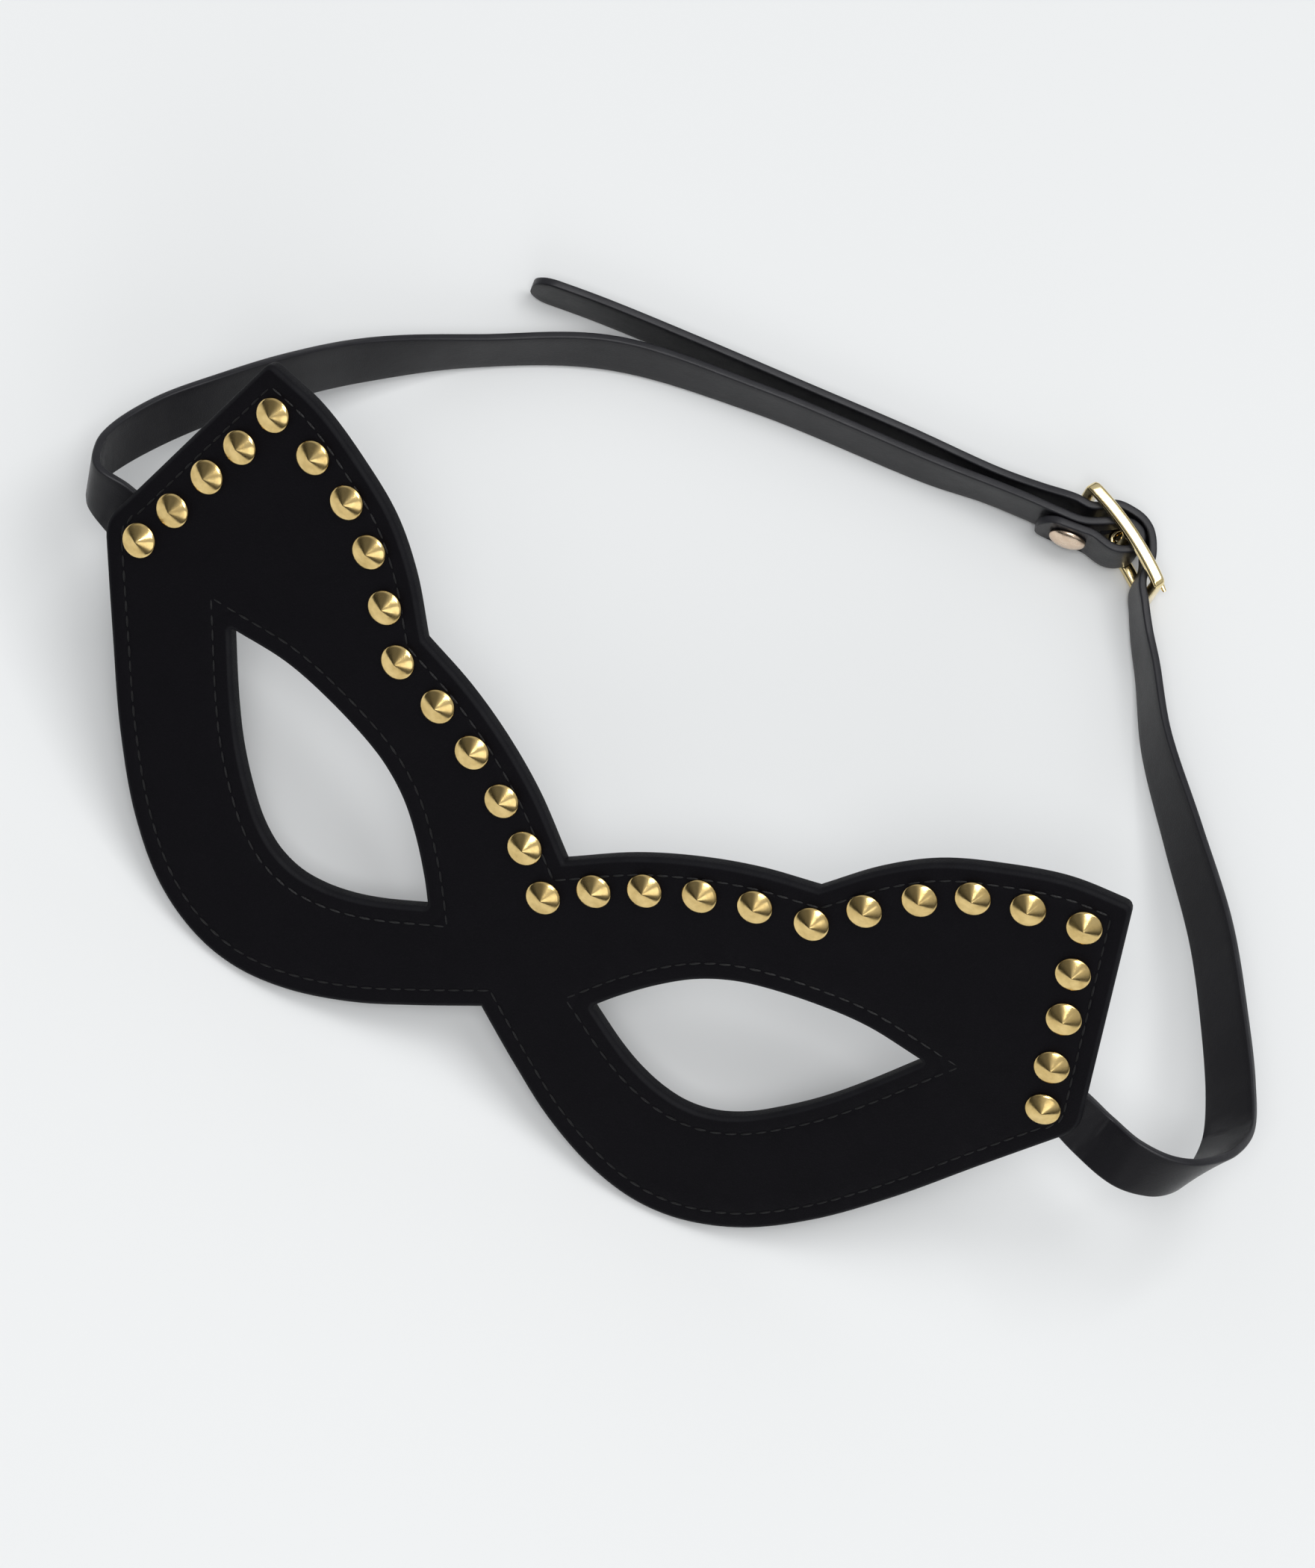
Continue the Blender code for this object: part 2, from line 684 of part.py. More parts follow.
def build_buckle(brass):
    """The frame: a plate with two windows, round on every edge, then arched."""
    half, high = BUCKLE_HALF_LENGTH, BUCKLE_HEIGHT / 2
    c = 0.9 * BUCKLE_RAIL
    outline = [np.array(p) for p in (
        (half - c, -high), (half - 0.3 * c, -high + 0.3 * c), (half, -high + c), (half, high - c),
        (half - 0.3 * c, high - 0.3 * c), (half - c, high), (c - half, high),
        (0.3 * c - half, high - 0.3 * c), (-half, high - c), (-half, c - high),
        (0.3 * c - half, 0.3 * c - high), (c - half, -high))]
    b = BUCKLE_BAR
    holes = []
    for side in (1, -1):
        inner, outer, top = CENTRE_BAR / 2, half - b, high - BUCKLE_RAIL
        hole = [(inner, -top), (outer, -top), (outer, top), (inner, top)]
        holes.append([np.array((side * x, y)) for x, y in hole])
    t = BUCKLE_THICKNESS
    # insets that round the edges of the rails and the bars
    r = min(BUCKLE_EDGE, 0.42 * BUCKLE_RAIL, 0.42 * b, 0.42 * CENTRE_BAR, 0.42 * t)
    rows = [(0.0, r), (0.29 * r, 0.29 * r), (r, 0.0), (t - r, 0.0), (t - 0.29 * r, 0.29 * r), (t, r)]
    bm = plate(outline, holes, rows)
    cut_across(bm, 0, even_steps(half, half / 5.5))
    bmesh.ops.triangulate(bm, faces=bm.faces)
    for vert in bm.verts:
        a, h, d = vert.co.x, vert.co.y, -vert.co.z - t / 2
        vert.co = Vector((a, arch(a) + d, h))
    return finish_mesh(bm, "buckle_frame", brass, 50)


def swept_tube(points, radius, sides):
    """A round wire through the points, in the plane z = 0, with flat ends."""
    bm = bmesh.new()
    rings = []
    n = len(points)
    for i, p in enumerate(points):
        a = np.array(points[max(i - 1, 0)])
        b = np.array(points[min(i + 1, n - 1)])
        t = (b - a) / np.linalg.norm(b - a)
        normal = np.array((t[1], -t[0]))
        r = radius[i]
        ring = []
        for k in range(sides):
            w = 2 * math.pi * k / sides
            off = normal * math.cos(w) * r
            ring.append(bm.verts.new((p[0] + off[0], p[1] + off[1], math.sin(w) * r)))
        rings.append(ring)
    for a, b in zip(rings, rings[1:]):
        for k in range(sides):
            j = (k + 1) % sides
            bm.faces.new((a[k], a[j], b[j], b[k]))
    bm.faces.new(rings[0][::-1])
    bm.faces.new(rings[-1])
    return bm


def build_prong(brass):
    """The tongue: a hook round the centre bar, then a straight shank that ends
    on the end bar."""
    thick = PRONG_DIAMETER / 2
    ring = bar_reach() + GAP + thick
    centre = arch(0)
    points = [(ring * math.cos(math.radians(a)), centre + ring * math.sin(math.radians(a)))
              for a in range(-120, -271, -30)]
    end_bar = arch(BUCKLE_HALF_LENGTH - BUCKLE_BAR / 2)
    tip_out = end_bar + BUCKLE_THICKNESS / 2 + GAP + thick
    reach = BUCKLE_HALF_LENGTH + 0.15 * BUCKLE_BAR
    radii = [thick] * len(points)
    for share, size in ((0.25, 1.0), (0.5, 1.0), (0.75, 0.97), (0.93, 0.85), (1.0, 0.45)):
        points.append((reach * share, centre + ring + (tip_out - centre - ring) * share ** 1.5))
        radii.append(thick * size)
    bm = swept_tube(points, radii, PRONG_SIDES)
    return finish_mesh(bm, "buckle_prong", brass, 60)


def build_rivet(brass, stack):
    """The head lies at z > 0, the shank goes down through the stack of leather
    and the small back cap closes it."""
    head, shank, back = RIVET_HEAD / 2, RIVET_SHANK / 2, RIVET_BACK / 2
    low = -stack
    profile = [(0.0, low - RIVET_BACK_HEIGHT), (back * 0.75, low - RIVET_BACK_HEIGHT),
               (back, low - RIVET_BACK_HEIGHT * 0.4), (back, low), (shank, low), (shank, 0.0),
               (head, 0.0), (head, RIVET_DOME * 0.25), (head * 0.88, RIVET_DOME * 0.55),
               (head * 0.60, RIVET_DOME * 0.85), (head * 0.30, RIVET_DOME * 0.97), (0.0, RIVET_DOME)]
    return finish_mesh(turned(profile, RIVET_SIDES), "loop_rivet", brass, 40)


def cutter_cylinder(name, radius, length, matrix, parent):
    bm = bmesh.new()
    bmesh.ops.create_cone(bm, cap_ends=True, segments=16, radius1=radius, radius2=radius,
                          depth=length)
    mesh = bpy.data.meshes.new(name)
    bm.to_mesh(mesh)
    bm.free()
    return add_object(name, mesh, parent, matrix)


def cutter_box(name, size, matrix, parent):
    bm = bmesh.new()
    bmesh.ops.create_cube(bm, size=1.0)
    bmesh.ops.scale(bm, vec=size, verts=bm.verts)
    mesh = bpy.data.meshes.new(name)
    bm.to_mesh(mesh)
    bm.free()
    return add_object(name, mesh, parent, matrix)


def main():
    clear_scene()
    leather = material("mask_leather", (0.010, 0.009, 0.011), 0.62, 0.0)
    strap_left_leather = material("strap_left_leather", (0.012, 0.011, 0.012), 0.45, 0.0)
    strap_right_leather = material("strap_right_leather", (0.012, 0.011, 0.012), 0.45, 0.0)
    stud_brass = material("stud_brass", (0.42, 0.33, 0.16), 0.25, 1.0)
    buckle_brass = material("buckle_brass", (0.60, 0.46, 0.24), 0.22, 1.0)
    prong_brass = material("prong_brass", (0.60, 0.46, 0.24), 0.24, 1.0)
    rivet_brass = material("rivet_brass", (0.62, 0.43, 0.27), 0.28, 1.0)

    mask_mesh = build_mask(leather)
    tilt = mask_pose(0)
    lift = -min((tilt @ v.co).z for v in mask_mesh.vertices)
    pose = mask_pose(lift)

    left_bm, left_frames = ribbon(left_route(pose), True)
    right_bm, right_frames = ribbon(right_route(pose), True)
    left_mesh = finish_mesh(left_bm, "strap_left", strap_left_leather, 40)
    right_mesh = finish_mesh(right_bm, "strap_right", strap_right_leather, 40)

    # The object's origin lies under the middle of its outer box.
    points = [pose @ v.co for v in mask_mesh.vertices]
    points += [v.co for v in left_mesh.vertices] + [v.co for v in right_mesh.vertices]
    low = [min(p[k] for p in points) for k in range(3)]
    high = [max(p[k] for p in points) for k in range(3)]
    root = add_empty("cat_eye_mask", None, Matrix.Translation(
        (-(low[0] + high[0]) / 2, -(low[1] + high[1]) / 2, -low[2])))
    stand = add_empty("mask_stand", root, pose)

    add_object("mask_face", mask_mesh, stand)

    cone = stud_mesh(stud_brass)
    places = [(0.0, 0.0)] + [(side * a, b) for a, b in sized(STUD_PLACES) for side in (-1, 1)]
    for number, (u, v) in enumerate(places, start=1):
        normal = mask_normal(u, v)
        turn = normal.to_track_quat("Z", "Y").to_matrix().to_4x4()
        seat = on_mask(u, v, 0) + normal * GAP
        add_object("stud_%02d" % number, cone, stand, Matrix.Translation(seat) @ turn)

    strap_left = add_object("strap_left", left_mesh, root)
    strap_right = add_object("strap_right", right_mesh, root)

    at_buckle = add_empty("buckle_stand", root, buckle_matrix())
    add_object("buckle_frame", build_buckle(buckle_brass), at_buckle)
    add_object("buckle_prong", build_prong(prong_brass), at_buckle)

    # The slot for the prong in the fold, over the bar and down its far side,
    # and the prong's hole
    room = PRONG_DIAMETER + 2 * PRONG_PLAY
    fold = bar_reach() + GAP + STRAP_THICKNESS + CUT_ROOM
    for name, left, right, low, high in (("prong_slot_over", -1.10, 0.90, 0.22, 1.10),
                                         ("prong_slot_beside", -1.10, -0.20, -0.70, 0.30)):
        slot = cutter_box(name, ((right - left) * fold, (high - low) * fold, room),
                          Matrix.Translation(((left + right) / 2 * fold,
                                              arch(0) + (low + high) / 2 * fold, 0)), at_buckle)
        cut(strap_left, slot)
    ring = bar_reach() + GAP + PRONG_DIAMETER / 2
    hole = cutter_cylinder("prong_hole_cutter", room / 2, 0.8 * BUCKLE_HALF_LENGTH,
                           Matrix.Translation((0.55 * BUCKLE_HALF_LENGTH, arch(0) + 0.93 * ring, 0))
                           @ Matrix.Rotation(math.radians(90), 4, "Y"), at_buckle)
    cut(strap_right, hole)

    # The rivet goes through both layers of the left strand.
    (a1, o1), (a0, o0) = rivet_line()
    dx, dy = a1 - a0, o1 - o0
    size = math.hypot(dx, dy)
    nx, ny = -dy / size, dx / size
    lie = STRAP_THICKNESS + LAYER_PLAY
    over = lie + STRAP_THICKNESS / 2 + GAP
    share = RIVET_PLACE
    seat = buckle_place(a0 + dx * share + nx * over, o0 + dy * share + ny * over, BUCKLE_MIDDLE)
    axis = seat - buckle_place(a0 + dx * share, o0 + dy * share, BUCKLE_MIDDLE)
    stack = over + STRAP_THICKNESS / 2 + GAP
    turn = axis.to_track_quat("Z", "Y").to_matrix().to_4x4()
    placed = Matrix.Translation(seat) @ turn
    add_object("loop_rivet", build_rivet(rivet_brass, stack), root, placed)
    bore = cutter_cylinder("rivet_hole_cutter", RIVET_SHANK / 2 + GAP, stack + CUT_ROOM,
                           placed @ Matrix.Translation((0, 0, -stack / 2)), root)
    cut(strap_left, bore)


main()
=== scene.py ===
"""The cat eye mask as it looks: a stiff black leather face with sewn edges and
brass cone studs, and a narrow leather strap closed by a small brass buckle.

Metres, in the part's own frame: +X along the mask's width, the face's front
looks towards -Y and up, the strap goes round behind it, and the table is at
z = 0.
"""

import math

import bmesh
import bpy
import numpy as np
from mathutils import Matrix, Vector

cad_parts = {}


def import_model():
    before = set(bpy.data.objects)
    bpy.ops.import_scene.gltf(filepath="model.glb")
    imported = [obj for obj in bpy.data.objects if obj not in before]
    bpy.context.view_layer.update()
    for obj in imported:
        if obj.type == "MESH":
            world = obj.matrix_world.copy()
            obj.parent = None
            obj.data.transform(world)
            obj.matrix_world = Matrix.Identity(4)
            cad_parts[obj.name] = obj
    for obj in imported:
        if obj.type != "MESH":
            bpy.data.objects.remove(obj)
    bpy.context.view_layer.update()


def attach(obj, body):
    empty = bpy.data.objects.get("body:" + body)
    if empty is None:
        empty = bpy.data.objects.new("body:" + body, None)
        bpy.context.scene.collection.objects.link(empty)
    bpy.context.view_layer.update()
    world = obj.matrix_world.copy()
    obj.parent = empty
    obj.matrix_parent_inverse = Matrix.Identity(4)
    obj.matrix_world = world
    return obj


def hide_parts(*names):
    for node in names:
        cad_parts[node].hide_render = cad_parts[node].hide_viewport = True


MM = 0.001

# The leather face
HALF_WIDTH = 101.4 * MM
MASK_HEIGHT = 101.3 * MM
LEATHER = 3.0 * MM
FRONT_ROUND = 0.9 * MM
BACK_ROUND = 0.45 * MM
TIP_ROUND = 1.6 * MM
CORNER_ROUND = 3.0 * MM
EYE_ROUND = 0.9 * MM
BEND_RADIUS = 573.0 * MM
CHEEK_TWIST = 11.3 * MM
TWIST_TOP = 0.197
TWIST_EASE = 5.0 * MM            # half the height over which the twist sets in
LEAN = 48.0
ROLL = -2.76
FACE_FINE = 8                    # steps a span of the face's outline
EYE_FINE = 7                     # steps a span of an eye hole
FACET = 4.0 * MM                 # the bent leather's largest face

# The sewing
STITCH_INSET = 3.3 * MM
STITCH_PITCH = 2.7 * MM
THREAD = 0.42 * MM
GROOVE_HALF = 0.55 * MM
GROOVE_DEPTH = 0.16 * MM

# The studs
STUD_DIAMETER = 6.4 * MM
STUD_HEIGHT = 1.8 * MM
STUD_RIM = 0.45 * MM
STUD_SIDES = 56

# The strap
STRAP_WIDTH = 10.0 * MM
STRAP_THICKNESS = 1.5 * MM
STRAP_ROUND = 0.40 * MM
STRAP_STEP = 1.3 * MM            # longest section of a strand
STRAP_TURN = 6.0                 # degrees, most that one section turns
WRINKLE_DEPTH = 0.22 * MM
WRINKLE_PITCH = 1.9 * MM
STRAP_REACH = 125.9 * MM
TAIL_LENGTH = 106.0 * MM
TAIL_HEADING = 191.3
PROUD = 0.05 * MM

# The buckle and the rivet
BUCKLE_HALF_LENGTH = 11.4 * MM
BUCKLE_SIDE_PLAY = 0.3 * MM
BUCKLE_RAIL = 1.7 * MM
BUCKLE_BAR = 2.0 * MM
CENTRE_BAR = 1.6 * MM
BUCKLE_THICKNESS = 2.4 * MM
BUCKLE_EDGE = 0.5 * MM
BUCKLE_ARCH = 1.12 * MM
BUCKLE_TURN = -24.3
BUCKLE_ACROSS = 0.5015
BUCKLE_STEP = 0.8 * MM           # longest section of the arched frame
WINDOW_ROUND = 0.35 * MM         # how far the corners of its windows are rounded
BUCKLE_HEIGHT = STRAP_WIDTH + 2 * (BUCKLE_SIDE_PLAY + BUCKLE_RAIL)
BUCKLE_MIDDLE = BUCKLE_HEIGHT / 2
LOOP_SLACK = 0.40 * MM
LAYER_PLAY = 0.3 * MM
PRONG_DIAMETER = 1.4 * MM
PRONG_PLAY = 0.5 * MM
PRONG_SIDES = 20
RIVET_HEAD = 7.0 * MM
RIVET_DOME = 1.3 * MM
RIVET_SHANK = 2.0 * MM
RIVET_BACK = 3.6 * MM
RIVET_BACK_HEIGHT = 0.35 * MM
RIVET_PLACE = 0.30
RIVET_SIDES = 48
GAP = 0.3 * MM
CUT_ROOM = 1.0 * MM

# Where the part's own middle and the face stand in the frame
STRAP_PLACE = Matrix.Translation((-8.288633 * MM, -50.126486 * MM, 0.056097 * MM))
FACE_LIFT = 36.648592 * MM

# Half of the face's flat outline: across is a share of HALF_WIDTH, up a share
# of MASK_HEIGHT from the middle stud.
BROW = [(0.000, 0.079), (0.099, 0.159), (0.197, 0.218), (0.296, 0.262), (0.400, 0.293)]
EAR = [(0.400, 0.293), (0.473, 0.384), (0.552, 0.454), (0.651, 0.506), (0.759, 0.546),
       (0.874, 0.561)]
OUTER_CORNER = (1.000, 0.118)
CHEEK = [(1.000, 0.118), (0.888, -0.045), (0.789, -0.190), (0.690, -0.311), (0.592, -0.395),
         (0.493, -0.440), (0.404, -0.451), (0.306, -0.433), (0.197, -0.386), (0.099, -0.325),
         (0.000, -0.258)]
EYE_UPPER = [(0.166, -0.143), (0.197, -0.098), (0.247, -0.037), (0.296, 0.010), (0.345, 0.042),
             (0.394, 0.063), (0.493, 0.089), (0.592, 0.102), (0.708, 0.094)]
EYE_LOWER = [(0.708, 0.094), (0.641, -0.013), (0.592, -0.082), (0.542, -0.139), (0.493, -0.185),
             (0.444, -0.214), (0.394, -0.226), (0.345, -0.223), (0.296, -0.210), (0.247, -0.189),
             (0.166, -0.143)]
STUD_PLACES = [(0.070, 0.064), (0.145, 0.118), (0.231, 0.166), (0.322, 0.204), (0.420, 0.232),
               (0.486, 0.306), (0.557, 0.378), (0.633, 0.432), (0.723, 0.465), (0.821, 0.486),
               (0.846, 0.396), (0.873, 0.310), (0.899, 0.215), (0.925, 0.130)]

# The strands of the strap: across as a share of HALF_WIDTH, back as a share of
# STRAP_REACH, fall as a share of the height left, and the lean in degrees.
LEFT_STRAND = [
    (-0.998, 0.146, 0.840, 38), (-1.052, 0.159, 0.812, 10), (-1.068, 0.191, 0.739, -14),
    (-1.061, 0.236, 0.669, -30), (-1.024, 0.310, 0.608, -36), (-0.965, 0.390, 0.552, -32),
    (-0.895, 0.480, 0.423, -32), (-0.804, 0.587, 0.197, -28), (-0.654, 0.707, 0.030, -12),
    (-0.452, 0.821, 0.009, -13), (-0.189, 0.887, 0.000, -6), (0.150, 0.942, 0.000, -4)]
RIGHT_STRAND = [
    (1.018, 0.140, 0.868, 46), (1.090, 0.128, 0.913, 45), (1.146, 0.139, 0.895, 31),
    (1.181, 0.159, 0.858, 15), (1.204, 0.187, 0.791, -3), (1.218, 0.225, 0.702, -25),
    (1.218, 0.279, 0.600, -45), (1.182, 0.345, 0.510, -45), (1.111, 0.436, 0.412, -40),
    (1.010, 0.548, 0.301, -36), (0.879, 0.661, 0.175, -28), (0.746, 0.773, 0.070, -16),
    (0.666, 0.859, 0.037, -8)]
ROOT = [(0.800, 0.153, 0.0), (0.888, 0.148, 0.2), (0.962, 0.128, 0.7)]
# The fold round the centre bar: degrees, and the distance as a share of the
# closest turn
FOLD = [(90, 1.00), (60, 1.04), (30, 1.12), (0, 1.12), (-50, 1.28), (-84, 1.70)]
TAIL_BOW = [(0.06, -0.002), (0.14, -0.003), (0.31, 0.003), (0.50, 0.005), (0.70, 0.007),
            (0.88, 0.006), (1.00, 0.000)]


# Curves and flat loops

def between(a, b, t, ta, tb):
    """Where t stands between a at ta and b at tb."""
    return (tb - t) / (tb - ta) * a + (t - ta) / (tb - ta) * b


def smooth_curve(points, count):
    """Centripetal Catmull-Rom curve through the points, count steps a span."""
    pts = [np.asarray(p, float) for p in points]
    pts = [2 * pts[0] - pts[1]] + pts + [2 * pts[-1] - pts[-2]]
    out = []
    for i in range(1, len(pts) - 2):
        p0, p1, p2, p3 = pts[i - 1:i + 3]
        t0 = 0.0
        t1 = t0 + math.sqrt(np.linalg.norm(p1 - p0)) + 1e-9
        t2 = t1 + math.sqrt(np.linalg.norm(p2 - p1)) + 1e-9
        t3 = t2 + math.sqrt(np.linalg.norm(p3 - p2)) + 1e-9
        for k in range(count):
            t = t1 + (t2 - t1) * k / count
            a1 = between(p0, p1, t, t0, t1)
            a2 = between(p1, p2, t, t1, t2)
            a3 = between(p2, p3, t, t2, t3)
            b1 = between(a1, a2, t, t0, t2)
            b2 = between(a2, a3, t, t1, t3)
            out.append(between(b1, b2, t, t1, t2))
    out.append(pts[-2])
    return out


def rounded_corner(before, corner, after, reach, steps):
    """A corner rounded from reach before it to reach behind it."""
    a = np.asarray(before, float) - corner
    b = np.asarray(after, float) - corner
    start = corner + a / np.linalg.norm(a) * reach
    end = corner + b / np.linalg.norm(b) * reach
    return [(1 - t) ** 2 * start + 2 * t * (1 - t) * corner + t * t * end
            for t in (k / steps for k in range(steps + 1))]


def rounded_box(corners, reach, steps):
    """A loop through four corners, each of them rounded."""
    c = [np.array(corner) for corner in corners]
    return [p for k in range(4)
            for p in rounded_corner(c[k - 1], c[k], c[(k + 1) % 4], reach, steps)]


def sized(table):
    """The flat points that a table gives in shares."""
    return [np.array((a * HALF_WIDTH, b * MASK_HEIGHT)) for a, b in table]


def beyond(points, corner, reach):
    """The points of a stretch that stay clear of a rounded corner."""
    return [p for p in points if np.linalg.norm(p - corner) > 1.12 * reach]


def straight(a, b, spacing):
    """Points at even steps between two points, without the two."""
    count = max(1, round(np.linalg.norm(b - a) / spacing))
    return [a + (b - a) * k / count for k in range(1, count)]


def face_outline(fine):
    """The face's outline, flat, once round, starting at the forehead notch."""
    brow = smooth_curve(sized(BROW), fine)
    ear = smooth_curve(sized(EAR), fine)
    tip, corner = ear[-1], sized([OUTER_CORNER])[0]
    cheek = smooth_curve(sized(CHEEK), fine)
    half = brow[:-1] + beyond(ear, tip, TIP_ROUND)
    half += rounded_corner(ear[-2], tip, corner, TIP_ROUND, 4)
    below = corner + (tip - corner) * CORNER_ROUND / np.linalg.norm(tip - corner)
    half += straight(half[-1], below, 1.5 * MM)
    half += rounded_corner(tip, corner, cheek[1], CORNER_ROUND, 6)
    half += beyond(cheek, corner, CORNER_ROUND)
    mirrored = [np.array((-p[0], p[1])) for p in reversed(half[1:-1])]
    return half + mirrored


def eye_outline(side, fine, rounding):
    """An eye hole's outline, flat, with its corners rounded or sharp."""
    upper = smooth_curve(sized(EYE_UPPER), fine)
    lower = smooth_curve(sized(EYE_LOWER), fine)
    inner, outer = upper[0], upper[-1]
    if rounding:
        loop = rounded_corner(lower[-2], inner, upper[1], rounding, 4)
        loop += beyond(beyond(upper[1:-1], inner, rounding), outer, rounding)
        loop += rounded_corner(upper[-2], outer, lower[1], rounding, 4)
        loop += beyond(beyond(lower[1:-1], inner, rounding), outer, rounding)
    else:
        loop = upper[:-1] + lower[:-1]
    return [np.array((side * p[0], p[1])) for p in loop]


def area(loop):
    """A loop's area, above zero where it runs anticlockwise."""
    p = np.array(loop)
    q = np.roll(p, -1, axis=0)
    return 0.5 * float(np.sum(p[:, 0] * q[:, 1] - q[:, 0] * p[:, 1]))


def grown(loop, amount):
    """The loop moved outwards by amount, each corner along its own bisector."""
    p = np.array(loop)
    sign = 1.0 if area(loop) > 0 else -1.0
    ahead = np.roll(p, -1, axis=0) - p
    ahead /= np.linalg.norm(ahead, axis=1)[:, None]
    behind = np.roll(ahead, 1, axis=0)
    n1 = sign * np.stack([ahead[:, 1], -ahead[:, 0]], axis=1)
    n0 = sign * np.stack([behind[:, 1], -behind[:, 0]], axis=1)
    bis = n0 + n1
    bis /= np.linalg.norm(bis, axis=1)[:, None]
    cosine = np.maximum(np.sum(bis * n1, axis=1), 0.35)
    return list(p + bis * (amount / cosine)[:, None])


def beside(loop, amount):
    """Like grown, but without the points that come nearer to the loop than
    amount, so that the new loop never crosses itself."""
    p = np.array(loop)
    q = np.roll(p, -1, axis=0)
    side = q - p
    size = np.sum(side * side, axis=1)
    kept = []
    for point in grown(loop, amount):
        t = np.clip(np.sum((point - p) * side, axis=1) / size, 0.0, 1.0)
        near = np.min(np.linalg.norm(p + side * t[:, None] - point, axis=1))
        if near > abs(amount) - 0.03 * MM:
            if not kept or np.linalg.norm(point - kept[-1]) > 0.05 * MM:
                kept.append(point)
    return kept


# The bent face

def on_face(u, v, depth=0.0):
    """A point of the bent face: u across and v up along the leather, depth
    behind its front."""
    short = TWIST_TOP * MASK_HEIGHT - v
    if abs(short) < TWIST_EASE:
        short = (short + TWIST_EASE) ** 2 / (4 * TWIST_EASE)
    twist = CHEEK_TWIST * (u / HALF_WIDTH) * max(0.0, short) / MASK_HEIGHT
    angle = u / BEND_RADIUS
    d = -depth - twist
    return Vector(((BEND_RADIUS + d) * math.sin(angle), v,
                   -BEND_RADIUS * (1 - math.cos(angle)) + d * math.cos(angle)))


def face_normal(u, v):
    step = LEATHER / 3
    a = on_face(u + step, v) - on_face(u - step, v)
    b = on_face(u, v + step) - on_face(u, v - step)
    return a.cross(b).normalized()


def face_place():
    """Where the face's middle stud stands in the part's frame."""
    turn = Matrix.Rotation(math.radians(ROLL), 4, "Y") @ Matrix.Rotation(math.radians(LEAN), 4, "X")
    return STRAP_PLACE @ Matrix.Translation((0, 0, FACE_LIFT)) @ turn


# Making pieces

def piece_from(bm, name, mat, smooth_angle, place=None):
    """A finished piece from a closed bmesh, with its place in its mesh."""
    bmesh.ops.recalc_face_normals(bm, faces=bm.faces)
    if bm.calc_volume(signed=True) < 0:
        bmesh.ops.reverse_faces(bm, faces=bm.faces)
    if place is not None:
        bmesh.ops.transform(bm, matrix=place, verts=bm.verts)
    mesh = bpy.data.meshes.new(name)
    bm.to_mesh(mesh)
    bm.free()
    mesh.materials.append(mat)
    mesh.shade_smooth()
    mesh.set_sharp_from_angle(angle=math.radians(smooth_angle))
    return linked(name, mesh)


def linked(name, data):
    obj = bpy.data.objects.new(name, data)
    bpy.context.scene.collection.objects.link(obj)
    return obj


def as_plain_mesh(obj):
    """Turns what an object's modifiers make into the object's own mesh."""
    graph = bpy.context.evaluated_depsgraph_get()
    mesh = bpy.data.meshes.new_from_object(obj.evaluated_get(graph))
    obj.modifiers.clear()
    old = obj.data
    obj.data = mesh
    mesh.name = obj.name
    bpy.data.meshes.remove(old)
    return obj


def cut_out(obj, cutters):
    """Cuts the cutters out of an object for good."""
    for cutter in cutters:
        mod = obj.modifiers.new("opening", "BOOLEAN")
        mod.operation = "DIFFERENCE"
        mod.solver = "EXACT"
        mod.object = cutter
    as_plain_mesh(obj)
    for cutter in cutters:
        bpy.data.objects.remove(cutter, do_unlink=True)


def band(bm, rings):
    """Quads between rings that have the same number of corners."""
    for a, b in zip(rings, rings[1:]):
        for k in range(len(a)):
            j = (k + 1) % len(a)
            bm.faces.new((a[k], a[j], b[j], b[k]))


def ring_edges(bm, ring):
    """The edges round a ring, made where they are missing."""
    edges = []
    for k in range(len(ring)):
        pair = (ring[k], ring[(k + 1) % len(ring)])
        edges.append(bm.edges.get(pair) or bm.edges.new(pair))
    return edges


def fill(bm, *rings):
    """Triangles between the first ring and the rings inside it."""
    edges = [e for ring in rings for e in ring_edges(bm, ring)]
    bmesh.ops.triangle_fill(bm, use_beauty=True, use_dissolve=False, edges=edges)


def cut_across(bm, axis, places):
    """Splits faces along planes square to an axis."""
    normal = [0, 0, 0]
    normal[axis] = 1
    for where in places:
        at = [0, 0, 0]
        at[axis] = where
        geom = bm.verts[:] + bm.edges[:] + bm.faces[:]
        bmesh.ops.bisect_plane(bm, geom=geom, dist=1e-6, plane_co=at, plane_no=normal)


def even_steps(half, spacing):
    """Places at even steps from -half to half, none at the middle or an end."""
    count = round(half / spacing)
    return [(k + 0.5) * half / count for k in range(-count, count)]


def quarter(radius, steps):
    """(depth, inset) from a flat side to an upright wall, round a quarter."""
    out = []
    for k in range(steps + 1):
        a = math.pi / 2 * (1 - k / steps)
        out.append((radius * (1 - math.sin(a)), radius * (1 - math.cos(a))))
    return out


def rounded_wall(bm, loop, way, rows):
    """A wall along a flat loop through (depth, inset) rows, with its rings."""
    rings = [[bm.verts.new((p[0], p[1], -depth)) for p in grown(loop, way * inset)]
             for depth, inset in rows]
    band(bm, rings)
    return rings


